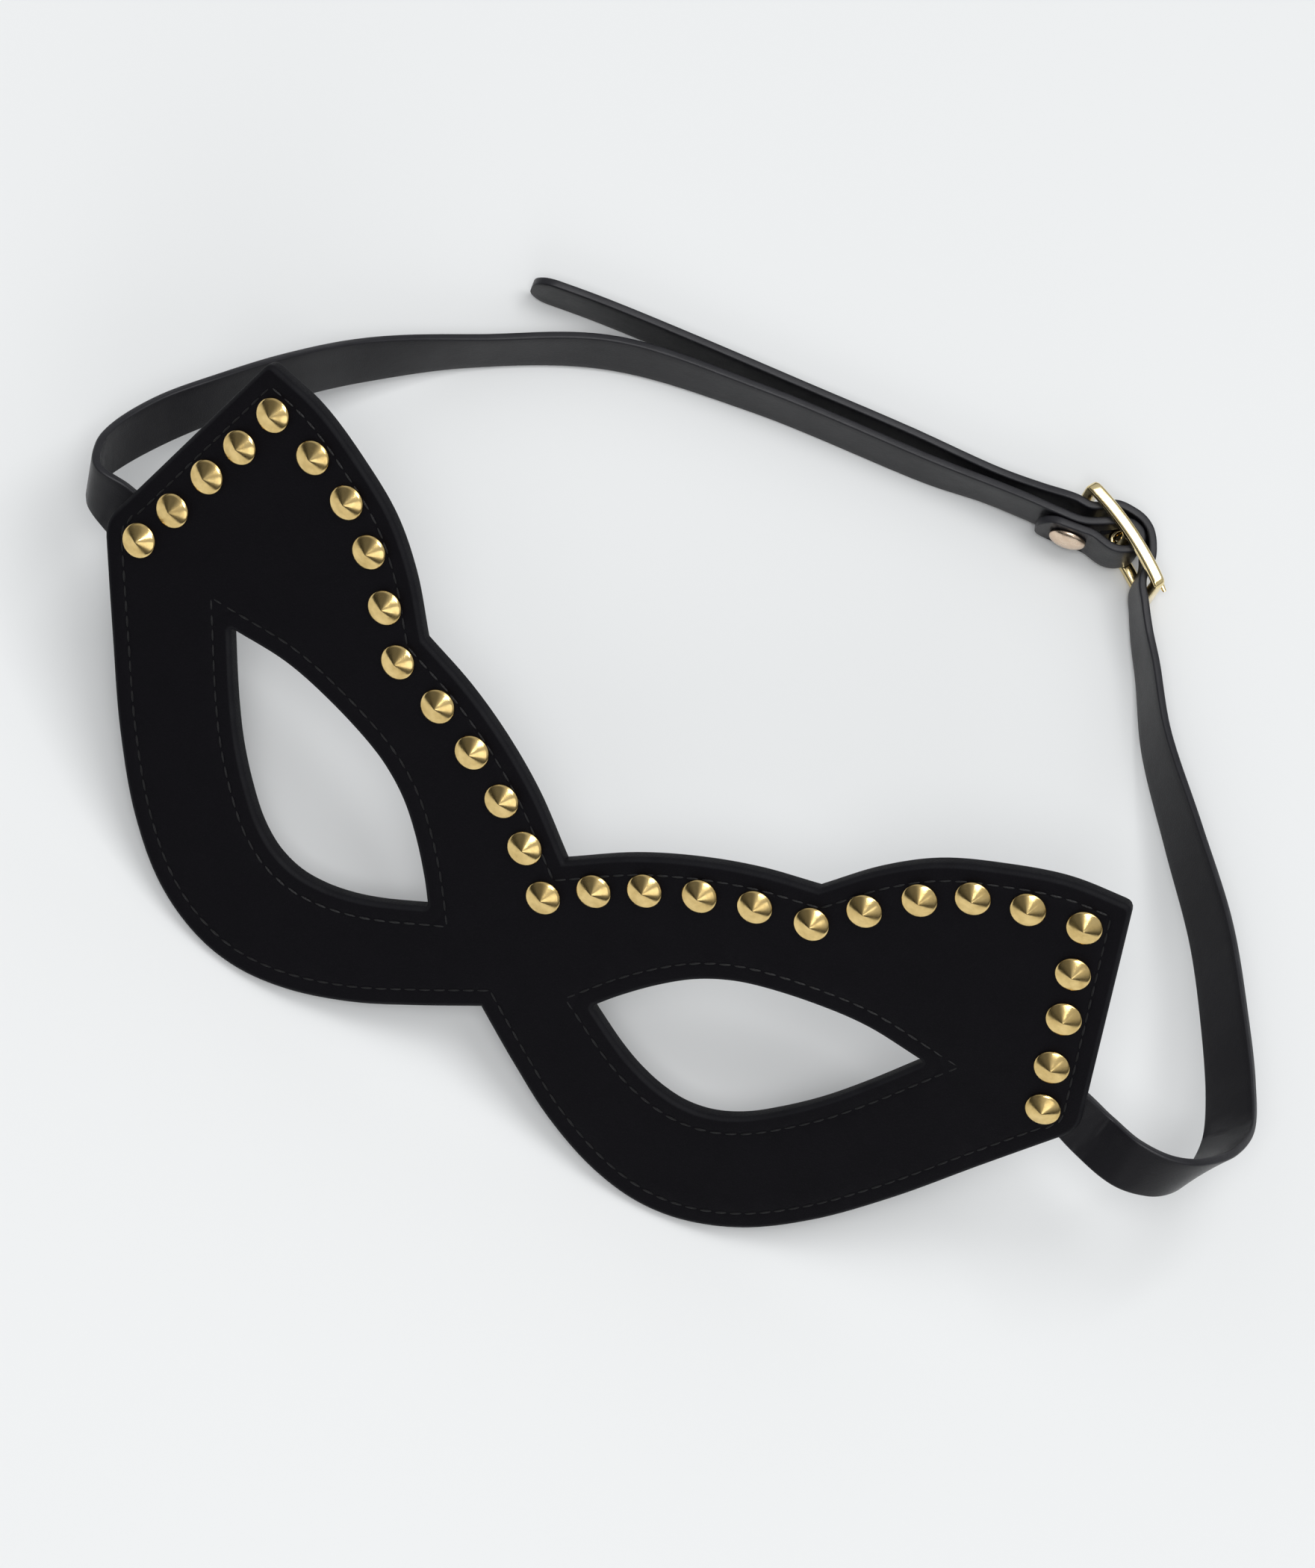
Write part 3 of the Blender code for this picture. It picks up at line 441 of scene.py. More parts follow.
def leather_face(mat):
    """The face: rounded cut edges, a pressed groove beside each of them for
    the sewing, then bent and twisted."""
    bm = bmesh.new()
    rim = bm.verts.layers.float.new("rim")
    rows = quarter(FRONT_ROUND, 5)
    rows += [(LEATHER - d, i) for d, i in reversed(quarter(BACK_ROUND, 3))]
    loops = [(face_outline(FACE_FINE), -1.0), (eye_outline(1, EYE_FINE, EYE_ROUND), 1.0),
             (eye_outline(-1, EYE_FINE, EYE_ROUND), 1.0)]
    front, back = [], []
    for loop, way in loops:
        rings = rounded_wall(bm, loop, way, rows)
        for vert in (vert for ring in rings for vert in ring):
            vert[rim] = 1.0 if 0 < -vert.co.z < LEATHER else 0.0
        last = rings[0]
        for inset, depth in ((STITCH_INSET - GROOVE_HALF, 0.0), (STITCH_INSET, GROOVE_DEPTH),
                             (STITCH_INSET + GROOVE_HALF, 0.0)):
            ring = [bm.verts.new((p[0], p[1], -depth)) for p in beside(loop, way * inset)]
            fill(bm, last, ring)
            last = ring
        front.append(last)
        back.append(rings[-1])
    fill(bm, *front)
    fill(bm, *back)
    cut_across(bm, 0, even_steps(HALF_WIDTH, FACET))
    cut_across(bm, 1, [k * FACET for k in range(-12, 15)])
    bmesh.ops.triangulate(bm, faces=bm.faces)
    for vert in bm.verts:
        vert.co = on_face(vert.co.x, vert.co.y, -vert.co.z)
    return piece_from(bm, "leather_face", mat, 42, face_place())


# Nodes

def node(tree, kind, inputs=None, **settings):
    """Adds a node. An input given as a socket is linked to it, one given as a
    node to that node's first output, and any other is set."""
    new = tree.nodes.new(kind)
    for key, value in settings.items():
        setattr(new, key, value)
    for key, value in (inputs or {}).items():
        if isinstance(value, bpy.types.Node):
            value = value.outputs[0]
        if isinstance(value, bpy.types.NodeSocket):
            tree.links.new(value, new.inputs[key])
        else:
            new.inputs[key].default_value = value
    return new


def connect(tree, ends, values):
    """Links each value to the end of that name."""
    for label, value in values.items():
        tree.links.new(value, ends[label])


def maths(tree, operation, *values):
    """What a math node makes of the values."""
    return node(tree, "ShaderNodeMath", dict(enumerate(values)), operation=operation).outputs[0]


def spread(tree, value, low, high, to_low=0.0, to_high=1.0, **settings):
    """A value's range from low to high laid over another range."""
    return node(tree, "ShaderNodeMapRange",
                {"Value": value, "From Min": low, "From Max": high, "To Min": to_low,
                 "To Max": to_high}, **settings).outputs["Result"]


def clouds(tree, scale, detail, **more):
    """Soft noise in the object's own coordinates."""
    where = node(tree, "ShaderNodeTexCoord").outputs["Object"]
    return node(tree, "ShaderNodeTexNoise",
                {"Vector": where, "Scale": scale, "Detail": detail, **more}).outputs["Fac"]


def bump(tree, height):
    """The normal of a surface with a height in metres."""
    return node(tree, "ShaderNodeBump",
                {"Height": height, "Strength": 1.0, "Distance": 1.0}).outputs["Normal"]


def drawn(tree, kind, socket, low, high, seed):
    """A random value between two others, drawn anew for each point."""
    lot = node(tree, "FunctionNodeRandomValue", {"Seed": seed}, data_type=kind)
    ends = [s for s in lot.inputs if s.type == socket]
    tree.links.new(low, ends[0])
    tree.links.new(high, ends[1])
    return next(s for s in lot.outputs if s.type == socket)


def one_mesh(tree, copies, finish):
    """The copies as one mesh with its finish."""
    real = node(tree, "GeometryNodeRealizeInstances", {"Geometry": copies})
    return node(tree, "GeometryNodeSetMaterial",
                {"Geometry": real, "Material": finish}).outputs["Geometry"]


def nodes_tree(name, kind, takes, gives):
    """A node group with its named inputs and outputs."""
    tree = bpy.data.node_groups.new(name, kind)
    for label, socket, value in takes:
        made = tree.interface.new_socket(label, in_out="INPUT", socket_type="NodeSocket" + socket)
        if value is not None:
            made.default_value = value
    for label, socket in gives:
        tree.interface.new_socket(label, in_out="OUTPUT", socket_type="NodeSocket" + socket)
    return tree, tree.nodes.new("NodeGroupInput").outputs, tree.nodes.new("NodeGroupOutput").inputs


def run_nodes(obj, tree, values):
    """Runs a tree on an object with the given inputs and keeps the result."""
    mod = obj.modifiers.new(tree.name, "NODES")
    mod.node_group = tree
    names = {item.name: item.identifier for item in tree.interface.items_tree
             if item.item_type == "SOCKET" and item.in_out == "INPUT"}
    for label, value in values.items():
        mod[names[label]] = value
    return as_plain_mesh(obj)


# What repeats, by Geometry Nodes

def sewing_tree():
    """Stitches in a row along edge paths, each lying on its seat."""
    tree, given, result = nodes_tree("sewn_row", "GeometryNodeTree", [
        ("Path", "Geometry", None), ("Pitch", "Float", STITCH_PITCH), ("Cover", "Float", 0.8),
        ("Thread", "Float", THREAD), ("Unevenness", "Float", 0.1), ("Seed", "Int", 3),
        ("Finish", "Material", None)], [("Stitches", "Geometry")])
    curve = node(tree, "GeometryNodeMeshToCurve", {"Mesh": given["Path"]})
    even = node(tree, "GeometryNodeResampleCurve", {"Curve": curve, "Length": given["Pitch"]},
                mode="LENGTH")
    ball = node(tree, "GeometryNodeMeshUVSphere", {"Segments": 8, "Rings": 7, "Radius": 0.5})
    lay = node(tree, "GeometryNodeTransform", {"Geometry": ball,
                                               "Rotation": (0.0, math.radians(90), 0.0)})
    marked = node(tree, "GeometryNodeStoreNamedAttribute",
                  {"Geometry": lay, "Name": "thread_place",
                   "Value": node(tree, "GeometryNodeInputPosition")}, data_type="FLOAT_VECTOR")
    soft = node(tree, "GeometryNodeSetShadeSmooth", {"Geometry": marked})
    stitch = node(tree, "GeometryNodeTransform", {"Geometry": soft, "Translation": (0.6, 0.0, 0.1)})
    seat = node(tree, "GeometryNodeInputNamedAttribute", {"Name": "seat"},
                data_type="FLOAT_VECTOR")
    turn = node(tree, "FunctionNodeAxesToRotation",
                {"Primary Axis": seat, "Secondary Axis": node(tree, "GeometryNodeInputTangent")},
                primary_axis="Z", secondary_axis="X")
    end = node(tree, "GeometryNodeCurveEndpointSelection", {"Start Size": 0, "End Size": 1})
    rest = node(tree, "FunctionNodeBooleanMath", {0: end}, operation="NOT")
    least = maths(tree, "SUBTRACT", 1.0, given["Unevenness"])
    most = maths(tree, "ADD", 1.0, given["Unevenness"])
    uneven = drawn(tree, "FLOAT", "VALUE", least, most, given["Seed"])
    long = maths(tree, "MULTIPLY", given["Pitch"], given["Cover"])
    wide = maths(tree, "MULTIPLY", given["Thread"], uneven)
    size = node(tree, "ShaderNodeCombineXYZ", {"X": long, "Y": wide, "Z": wide})
    laid = node(tree, "GeometryNodeInstanceOnPoints",
                {"Points": even, "Selection": rest, "Instance": stitch, "Rotation": turn,
                 "Scale": size})
    connect(tree, result, {"Stitches": one_mesh(tree, laid, given["Finish"])})
    return tree


def studding_tree():
    """One form set on every point, upright on its seat and turned a little
    differently each time."""
    tree, given, result = nodes_tree("set_studs", "GeometryNodeTree", [
        ("Points", "Geometry", None), ("Form", "Object", None), ("Tilt", "Float", 1.0),
        ("Seed", "Int", 5), ("Finish", "Material", None)], [("Studs", "Geometry")])
    form = node(tree, "GeometryNodeObjectInfo", {"Object": given["Form"]})
    seat = node(tree, "GeometryNodeInputNamedAttribute", {"Name": "seat"},
                data_type="FLOAT_VECTOR")
    stand = node(tree, "FunctionNodeAlignRotationToVector", {"Vector": seat}, axis="Z")
    most = maths(tree, "RADIANS", given["Tilt"])
    least = maths(tree, "MULTIPLY", most, -1.0)
    low, high = (node(tree, "ShaderNodeCombineXYZ", {"X": tilt, "Y": tilt, "Z": spin}).outputs[0]
                 for tilt, spin in ((least, -math.pi), (most, math.pi)))
    turn = node(tree, "FunctionNodeRotateRotation",
                {"Rotation": stand,
                 "Rotate By": drawn(tree, "FLOAT_VECTOR", "VECTOR", low, high, given["Seed"])},
                rotation_space="LOCAL")
    laid = node(tree, "GeometryNodeInstanceOnPoints",
                {"Points": given["Points"], "Instance": form.outputs["Geometry"],
                 "Rotation": turn})
    connect(tree, result, {"Studs": one_mesh(tree, laid, given["Finish"])})
    return tree


def marked_points(name, points, seats, edges):
    """A mesh of bare points, each with the direction in which its seat looks."""
    mesh = bpy.data.meshes.new(name)
    mesh.from_pydata([tuple(p) for p in points], edges, [])
    layer = mesh.attributes.new("seat", "FLOAT_VECTOR", "POINT")
    layer.data.foreach_set("vector", np.array(seats, "f").ravel())
    return linked(name, mesh)


def stitch_paths():
    """The sewing's flat paths, one for each stretch between two corners."""
    stretches = []
    loops = [beside(face_outline(FACE_FINE), -STITCH_INSET)]
    loops += [beside(eye_outline(side, EYE_FINE, 0.0), STITCH_INSET) for side in (1, -1)]
    for loop in loops:
        p = np.array(loop)
        ahead = np.roll(p, -1, axis=0) - p
        ahead /= np.linalg.norm(ahead, axis=1)[:, None]
        turn = np.sum(ahead * np.roll(ahead, 1, axis=0), axis=1)
        corners = [k for k in range(len(p)) if turn[k] < math.cos(math.radians(24))]
        for a, b in zip(corners, corners[1:] + [corners[0] + len(p)]):
            run = [p[k % len(p)] for k in range(a, b + 1)]
            if sum(np.linalg.norm(y - x) for x, y in zip(run, run[1:])) > STITCH_PITCH:
                stretches.append(run)
    return stretches


def sewn_edges(mat):
    """The stitches in the pressed grooves."""
    turn = face_place()
    points, seats, edges = [], [], []
    for run in stitch_paths():
        for k, (u, v) in enumerate(run):
            if k:
                edges.append((len(points) - 1, len(points)))
            points.append(turn @ on_face(u, v, GROOVE_DEPTH))
            seats.append(turn.to_3x3() @ face_normal(u, v))
    obj = marked_points("edge_stitching", points, seats, edges)
    return run_nodes(obj, sewing_tree(), {"Pitch": STITCH_PITCH, "Thread": THREAD, "Finish": mat})


def cone_form():
    """A cone with a soft point on a rolled rim, spun round its axis."""
    r, h = STUD_DIAMETER / 2, STUD_HEIGHT
    rise = h - STUD_RIM
    profile = [(0.0, -1.2 * GAP), (0.90 * r, -1.2 * GAP), (0.965 * r, -0.5 * GAP),
               (0.99 * r, 0.25 * STUD_RIM), (r, 0.5 * STUD_RIM), (0.99 * r, 0.80 * STUD_RIM),
               (0.965 * r, STUD_RIM), (0.93 * r, STUD_RIM + 0.07 * rise),
               (0.86 * r, STUD_RIM + 0.155 * rise), (0.60 * r, STUD_RIM + 0.42 * rise),
               (0.30 * r, STUD_RIM + 0.725 * rise), (0.10 * r, STUD_RIM + 0.93 * rise),
               (0.045 * r, STUD_RIM + 0.975 * rise), (0.0, h)]
    return turned(profile, STUD_SIDES)


def turned(profile, sides):
    """A closed body turned round +Z from (radius, height) points that start
    and end on the axis."""
    bm = bmesh.new()
    rings = []
    for r, h in profile:
        if r == 0:
            rings.append([bm.verts.new((0, 0, h))])
        else:
            rings.append([bm.verts.new((r * math.cos(2 * math.pi * k / sides),
                                        r * math.sin(2 * math.pi * k / sides), h))
                          for k in range(sides)])
    for a, b in zip(rings, rings[1:]):
        for k in range(sides):
            j = (k + 1) % sides
            ring = [a[k % len(a)], a[j % len(a)], b[j % len(b)], b[k % len(b)]]
            bm.faces.new(list(dict.fromkeys(ring)))
    return bm


def cone_studs(mat):
    """All the studs: the middle one and a pair for each place in the table."""
    form = piece_from(cone_form(), "stud_form", mat, 50)
    turn = face_place()
    places = [(0.0, 0.0)] + [(side * a, b) for a, b in sized(STUD_PLACES) for side in (-1, 1)]
    normals = [face_normal(u, v) for u, v in places]
    points = [turn @ (on_face(u, v) + n * GAP) for (u, v), n in zip(places, normals)]
    obj = marked_points("cone_studs", points, [turn.to_3x3() @ n for n in normals], [])
    run_nodes(obj, studding_tree(), {"Form": form, "Tilt": 1.2, "Finish": mat})
    bpy.data.objects.remove(form, do_unlink=True)
    return obj


# The strap

def strap_section(width):
    """Corners round the strap's cross-section: (along the width, through the
    thickness, how much of it is cut edge)."""
    w, t, r = width / 2, STRAP_THICKNESS / 2, STRAP_ROUND
    out = []
    for sw, st, start in ((1, 1, 0), (-1, 1, 90), (-1, -1, 180), (1, -1, 270)):
        for k in range(5):
            a = math.radians(start + 22.5 * k)
            edge = abs(math.cos(a)) ** 0.7
            out.append((sw * (w - r) + r * math.cos(a), st * (t - r) + r * math.sin(a), edge))
        if sw == st:
            out += [(sw * share * w, st * t, 0.0) for share in (0.66, 0.33, 0.0, -0.33, -0.66)]
    return out


def wrinkle(run, across, squeeze):
    """How deep the inner side creases at a place along and across a strap that
    is bent by squeeze a metre."""
    strength = min(1.0, max(0.0, (abs(squeeze) - 12.0) / 60.0))
    phase = run / WRINKLE_PITCH + 0.9 * math.sin(across / (2.1 * MM) + run / (7.3 * MM))
    return WRINKLE_DEPTH * strength * max(0.0, math.sin(2 * math.pi * phase)) ** 2


def ribbon(stations):
    """A strap swept along stations of (point, width direction), with wrinkles
    where its inner side is squeezed, a square start and a round end."""
    joined = [np.concatenate([np.array(p) / STRAP_WIDTH, np.array(w) * 0.3]) for p, w in stations]
    dense = np.array(smooth_curve(joined, 24))
    path = dense[:, :3] * STRAP_WIDTH
    wide = dense[:, 3:]
    run = np.concatenate([[0], np.cumsum(np.linalg.norm(np.diff(path, axis=0), axis=1))])
    total = run[-1]
    ahead = np.gradient(path, run, axis=0)
    ahead /= np.linalg.norm(ahead, axis=1)[:, None]
    curve = np.gradient(ahead, run, axis=0)
    turning = np.linalg.norm(curve, axis=1)
    weight = 1 / STRAP_STEP + turning / math.radians(STRAP_TURN)
    measure = np.concatenate([[0], np.cumsum(0.5 * (weight[1:] + weight[:-1]) * np.diff(run))])
    count = math.ceil(measure[-1])
    at = np.interp(np.linspace(0, measure[-1], count + 1), measure, run)
    reach = STRAP_WIDTH * 0.42
    angles = np.radians([0, 10, 20, 30, 40, 50, 60, 69, 77, 84, 88])
    at = np.concatenate([at[at < total - reach * 1.05], total - reach * (1 - np.sin(angles))])
    bm = bmesh.new()
    rim = bm.verts.layers.float.new("rim")
    rings = []
    for s in at:
        point, along, across, bend = (
            np.array([np.interp(s, run, v[:, k]) for k in range(3)])
            for v in (path, ahead, wide, curve))
        along /= np.linalg.norm(along)
        across -= along * np.dot(across, along)
        across /= np.linalg.norm(across)
        out = np.cross(along, across)
        squeeze = float(np.dot(bend, out))
        width = STRAP_WIDTH
        if total - s < reach:
            share = 1 - (total - s) / reach
            width *= 0.22 + 0.78 * math.sqrt(max(0.0, 1 - share * share))
        ring = []
        for a, b, edge in strap_section(width):
            dent = wrinkle(s, a, squeeze) if b * squeeze > 0 and edge < 0.5 else 0.0
            vert = bm.verts.new(point + across * a + out * (b - math.copysign(dent, b)))
            vert[rim] = edge
            ring.append(vert)
        rings.append(ring)
    band(bm, rings)
    bm.faces.new(rings[0][::-1])
    bm.faces.new(rings[-1])
    return bm


def lean_width(before, after, lean, side):
    """The width direction of a strand that leans in over the ring by lean."""
    along = (Vector(after) - Vector(before)).normalized()
    up = Vector((0, 0, 1))
    up = (up - along * up.dot(along)).normalized()
    out = along.cross(up)
    angle = math.radians(lean)
    return up * math.cos(angle) - out * (side * math.sin(angle))


def resting_height(lean):
    """How high the middle of a strand is that leans and rests on its edge."""
    angle = math.radians(abs(lean))
    return STRAP_WIDTH / 2 * math.cos(angle) + STRAP_THICKNESS / 2 * math.sin(angle) + PROUD


def strand(side, table):
    """Stations from behind the face's end to the buckle."""
    pose = STRAP_PLACE.inverted() @ face_place()
    turn = pose.to_3x3()
    roots = []
    for across, height, off in ROOT:
        u, v = side * across * HALF_WIDTH, height * MASK_HEIGHT
        depth = LEATHER + GAP * (1 + off) + STRAP_THICKNESS / 2
        up = (on_face(u, v + LEATHER, depth) - on_face(u, v, depth)).normalized()
        roots.append((pose @ on_face(u, v, depth), turn @ up))
    top = roots[0][0].z
    points = []
    for across, back, fall, lean in table:
        rest = resting_height(lean)
        points.append((Vector((across * HALF_WIDTH, back * STRAP_REACH,
                               rest + fall * (top - rest))), lean))
    chain = [roots[-1][0]] + [p for p, lean in points]
    ends = chain + [2 * chain[-1] - chain[-2]]
    out = list(roots)
    for i, (point, lean) in enumerate(points, start=1):
        out.append((point, lean_width(ends[i - 1], ends[i + 1], lean, side)))
    return out


def buckle_point(along, out, height):
    """A point given in the buckle's own directions: along its rails, outwards
    from the ring and up from the table."""
    turn = math.radians(BUCKLE_TURN)
    x = BUCKLE_ACROSS * HALF_WIDTH + along * math.cos(turn) - out * math.sin(turn)
    y = STRAP_REACH + along * math.sin(turn) + out * math.cos(turn)
    return Vector((x, y, height))


def buckle_place():
    """Where the buckle's middle stands in the part's frame."""
    turn = Matrix.Rotation(math.radians(BUCKLE_TURN), 4, "Z")
    return STRAP_PLACE @ Matrix.Translation(buckle_point(0, 0, BUCKLE_MIDDLE)) @ turn


def arch(along):
    """How far the frame's middle line stands out at a place along it."""
    return BUCKLE_ARCH * (0.55 - (along / BUCKLE_HALF_LENGTH) ** 2)


def bar_reach():
    """How far the centre bar's rounded corners reach from its middle line."""
    r = 0.29 * BUCKLE_EDGE
    corner = math.hypot(CENTRE_BAR / 2 - r, BUCKLE_THICKNESS / 2 - r)
    return max(BUCKLE_THICKNESS / 2, corner)


def closest_turn():
    """From the centre bar's middle line to the middle of the leather round it."""
    return bar_reach() + GAP + STRAP_THICKNESS / 2


def rivet_stretch():
    """The straight stretch that the rivet holds, along and outwards: its end
    by the bar, its course away from the bar and the way outwards from it."""
    near = np.array((-0.562, -0.422)) * BUCKLE_HALF_LENGTH
    course = np.array((-0.916, -0.697)) * BUCKLE_HALF_LENGTH - near
    return near, course, np.array((-course[1], course[0])) / np.linalg.norm(course)


def left_route():
    """The left strand, its fold round the centre bar and its folded end."""
    up = Vector((0, 0, 1))
    half = BUCKLE_HALF_LENGTH
    fold, centre = closest_turn(), arch(0)
    low = resting_height(0)
    near, course, outward = rivet_stretch()
    out = strand(-1, LEFT_STRAND)
    for a, o, risen in ((-1.89 * half, -1.34 * half, 0.35), (-1.35 * half, -0.980 * half, 0.80),
                        (*(near + course), 1.0), (*near, 1.0)):
        out.append((buckle_point(a, o, low + (BUCKLE_MIDDLE - low) * risen), up))
    out.append((buckle_point(-0.88 * fold, centre + 0.64 * fold, BUCKLE_MIDDLE), up))
    for angle, loose in FOLD:
        turn, reach = math.radians(angle), fold * loose
        out.append((buckle_point(reach * math.cos(turn), centre + reach * math.sin(turn),
                                 BUCKLE_MIDDLE), up))
    for share, layers in ((-0.42, 1.0), (0.0, 1.0), (0.5, 1.0), (1.0, 1.0), (1.52, 1.25)):
        a, o = near + course * share + outward * (STRAP_THICKNESS + LAYER_PLAY) * layers
        out.append((buckle_point(a, o, BUCKLE_MIDDLE), up))
    return out


def right_route():
    """The right strand, its way through the buckle and its free tail."""
    up = Vector((0, 0, 1))
    half = BUCKLE_HALF_LENGTH
    low = resting_height(0)
    rise = BUCKLE_MIDDLE - low
    over = arch(0) + closest_turn() + STRAP_THICKNESS + LOOP_SLACK
    under = -(BUCKLE_THICKNESS + STRAP_THICKNESS) / 2 - GAP
    bar = arch(half - BUCKLE_BAR / 2)
    out = strand(1, RIGHT_STRAND)
    steps = [
        # along, out, how far it has risen to the buckle's middle, lean
        (1.50 * half, -0.585 * half, 0.60, -5),
        (1.04 * half, -0.352 * half, 0.95, -2),
        (0.74 * half, bar + 0.75 * under, 1.0, 0),
        (0.50 * half, 0.41 * over, 1.0, 0),
        (0.325 * half, 0.73 * over, 1.0, 0),
        (0.21 * half, 0.88 * over, 1.0, 0),
        (0.08 * half, 0.98 * over, 1.0, 0),
        (-0.10 * half, 0.98 * over, 1.0, 0),
        (-0.28 * half, 0.83 * over, 1.0, 0),
        (-0.52 * half, 0.45 * over, 1.0, 0),
        (-0.70 * half, bar + 0.70 * under, 1.0, 0),
        (-0.95 * half, bar + 1.50 * under, 0.95, 0),
    ]
    places = [buckle_point(a, o, low + rise * h) for a, o, h, lean in steps]
    before = [out[-1][0]] + places
    after = places[1:] + [2 * places[-1] - places[-2]]
    for prior, point, later, step in zip(before, places, after, steps):
        out.append((point, lean_width(prior, later, step[3], 1)))
    start = buckle_point(-0.95 * half, bar + 1.50 * under, low)
    heading = math.radians(TAIL_HEADING)
    for along, away in TAIL_BOW:
        s, w = along * TAIL_LENGTH, away * TAIL_LENGTH
        x = start.x + s * math.cos(heading) + w * math.sin(heading)
        y = start.y + s * math.sin(heading) - w * math.cos(heading)
        h = low + rise * max(0.0, 1.0 - along / 0.14) * 0.75
        out.append((Vector((x, y, h)), up))
    return out


def tool(name, bm, matrix):
    """A cutter for an opening. cut_out removes it again."""
    bmesh.ops.transform(bm, matrix=matrix, verts=bm.verts)
    mesh = bpy.data.meshes.new(name)
    bm.to_mesh(mesh)
    bm.free()
    obj = linked(name, mesh)
    obj.hide_render = True
    return obj


def bore(name, radius, depth, matrix):
    """A round tool."""
    bm = bmesh.new()
    bmesh.ops.create_cone(bm, cap_ends=True, segments=24, radius1=radius, radius2=radius,
                          depth=depth)
    return tool(name, bm, matrix)


def strap_with_fold(mat):
    """The left strand, with the slot for the prong and the rivet's bore."""
    obj = piece_from(ribbon(left_route()), "strap_left_leather", mat, 50, STRAP_PLACE)
    room = PRONG_DIAMETER + 2 * PRONG_PLAY
    fold = bar_reach() + GAP + STRAP_THICKNESS + CUT_ROOM
    tools = []
    for name, left, right, low, high in (("slot_over", -1.10, 0.90, 0.22, 1.10),
                                         ("slot_beside", -1.10, -0.20, -0.70, 0.30)):
        slot = bmesh.new()
        bmesh.ops.create_cube(slot, size=1.0)
        bmesh.ops.scale(slot, vec=((right - left) * fold, (high - low) * fold, room),
                        verts=slot.verts)
        middle = ((left + right) / 2 * fold, arch(0) + (low + high) / 2 * fold, 0)
        tools.append(tool(name, slot, buckle_place() @ Matrix.Translation(middle)))
    placed, stack = rivet_place()
    tools.append(bore("bore", RIVET_SHANK / 2 + GAP, stack + CUT_ROOM,
                      placed @ Matrix.Translation((0, 0, -stack / 2))))
    cut_out(obj, tools)
    return obj


def strap_with_tail(mat):
    """The right strand, with the hole that the prong goes through."""
    obj = piece_from(ribbon(right_route()), "strap_right_leather", mat, 50, STRAP_PLACE)
    ring = bar_reach() + GAP + PRONG_DIAMETER / 2
    middle = (0.55 * BUCKLE_HALF_LENGTH, arch(0) + 0.93 * ring, 0)
    cut_out(obj, [bore("hole", PRONG_DIAMETER / 2 + PRONG_PLAY, 0.8 * BUCKLE_HALF_LENGTH,
                       buckle_place() @ Matrix.Translation(middle)
                       @ Matrix.Rotation(math.radians(90), 4, "Y"))])
    return obj


# The metal

def buckle_frame(mat):
    """The frame: a plate with two windows, round on every edge, then arched."""
    half, high = BUCKLE_HALF_LENGTH, BUCKLE_HEIGHT / 2
    top = high - BUCKLE_RAIL
    loops = [(rounded_box([(half, high), (-half, high), (-half, -high), (half, -high)],
                          0.9 * BUCKLE_RAIL, 6), -1.0)]
    for side in (1, -1):
        x0, x1 = sorted((side * CENTRE_BAR / 2, side * (half - BUCKLE_BAR)))
        loops.append((rounded_box([(x0, -top), (x1, -top), (x1, top), (x0, top)],
                                  WINDOW_ROUND, 3), 1.0))
    t = BUCKLE_THICKNESS
    rows = quarter(1.2 * BUCKLE_EDGE, 5)
    rows += [(t - d, i) for d, i in reversed(rows)]
    bm = bmesh.new()
    front, back = [], []
    for loop, way in loops:
        rings = rounded_wall(bm, loop, way, rows)
        front.append(rings[0])
        back.append(rings[-1])
    fill(bm, *front)
    fill(bm, *back)
    cut_across(bm, 0, even_steps(half, BUCKLE_STEP))
    bmesh.ops.triangulate(bm, faces=bm.faces)
    for vert in bm.verts:
        a, h, d = vert.co.x, vert.co.y, -vert.co.z - t / 2
        vert.co = Vector((a, arch(a) + d, h))
    return piece_from(bm, "buckle_casting", mat, 60, buckle_place())


def swept_tube(points, radii, sides):
    """A round wire through points in the plane z = 0, with round ends."""
    bm = bmesh.new()
    rings = []
    n = len(points)
    for i, p in enumerate(points):
        a = np.array(points[max(i - 1, 0)])
        b = np.array(points[min(i + 1, n - 1)])
        t = (b - a) / np.linalg.norm(b - a)
        normal = np.array((t[1], -t[0]))
        ring = []
        for k in range(sides):
            w = 2 * math.pi * k / sides
            off = normal * math.cos(w) * radii[i]
            ring.append(bm.verts.new((p[0] + off[0], p[1] + off[1], math.sin(w) * radii[i])))
        rings.append(ring)
    band(bm, rings)
    bm.faces.new(rings[0][::-1])
    bm.faces.new(rings[-1])
    return bm


def buckle_prong(mat):
    """The tongue: a hook round the centre bar, then a straight shank that ends
    on the end bar."""
    thick = PRONG_DIAMETER / 2
    ring = bar_reach() + GAP + thick
    centre = arch(0)
    points = [(ring * math.cos(math.radians(a)), centre + ring * math.sin(math.radians(a)))
              for a in range(-120, -271, -10)]
    end_bar = arch(BUCKLE_HALF_LENGTH - BUCKLE_BAR / 2)
    tip_out = end_bar + BUCKLE_THICKNESS / 2 + GAP + thick
    reach = BUCKLE_HALF_LENGTH + 0.15 * BUCKLE_BAR
    radii = [thick * min(1.0, 0.75 + 0.12 * k) for k in range(len(points))]
    for k in range(1, 15):
        share = k / 14
        points.append((reach * share, centre + ring + (tip_out - centre - ring) * share ** 1.5))
        radii.append(thick * (1.0 - 0.55 * max(0.0, (share - 0.72) / 0.28) ** 1.8))
    return piece_from(swept_tube(points, radii, PRONG_SIDES), "prong_wire", mat, 60, buckle_place())


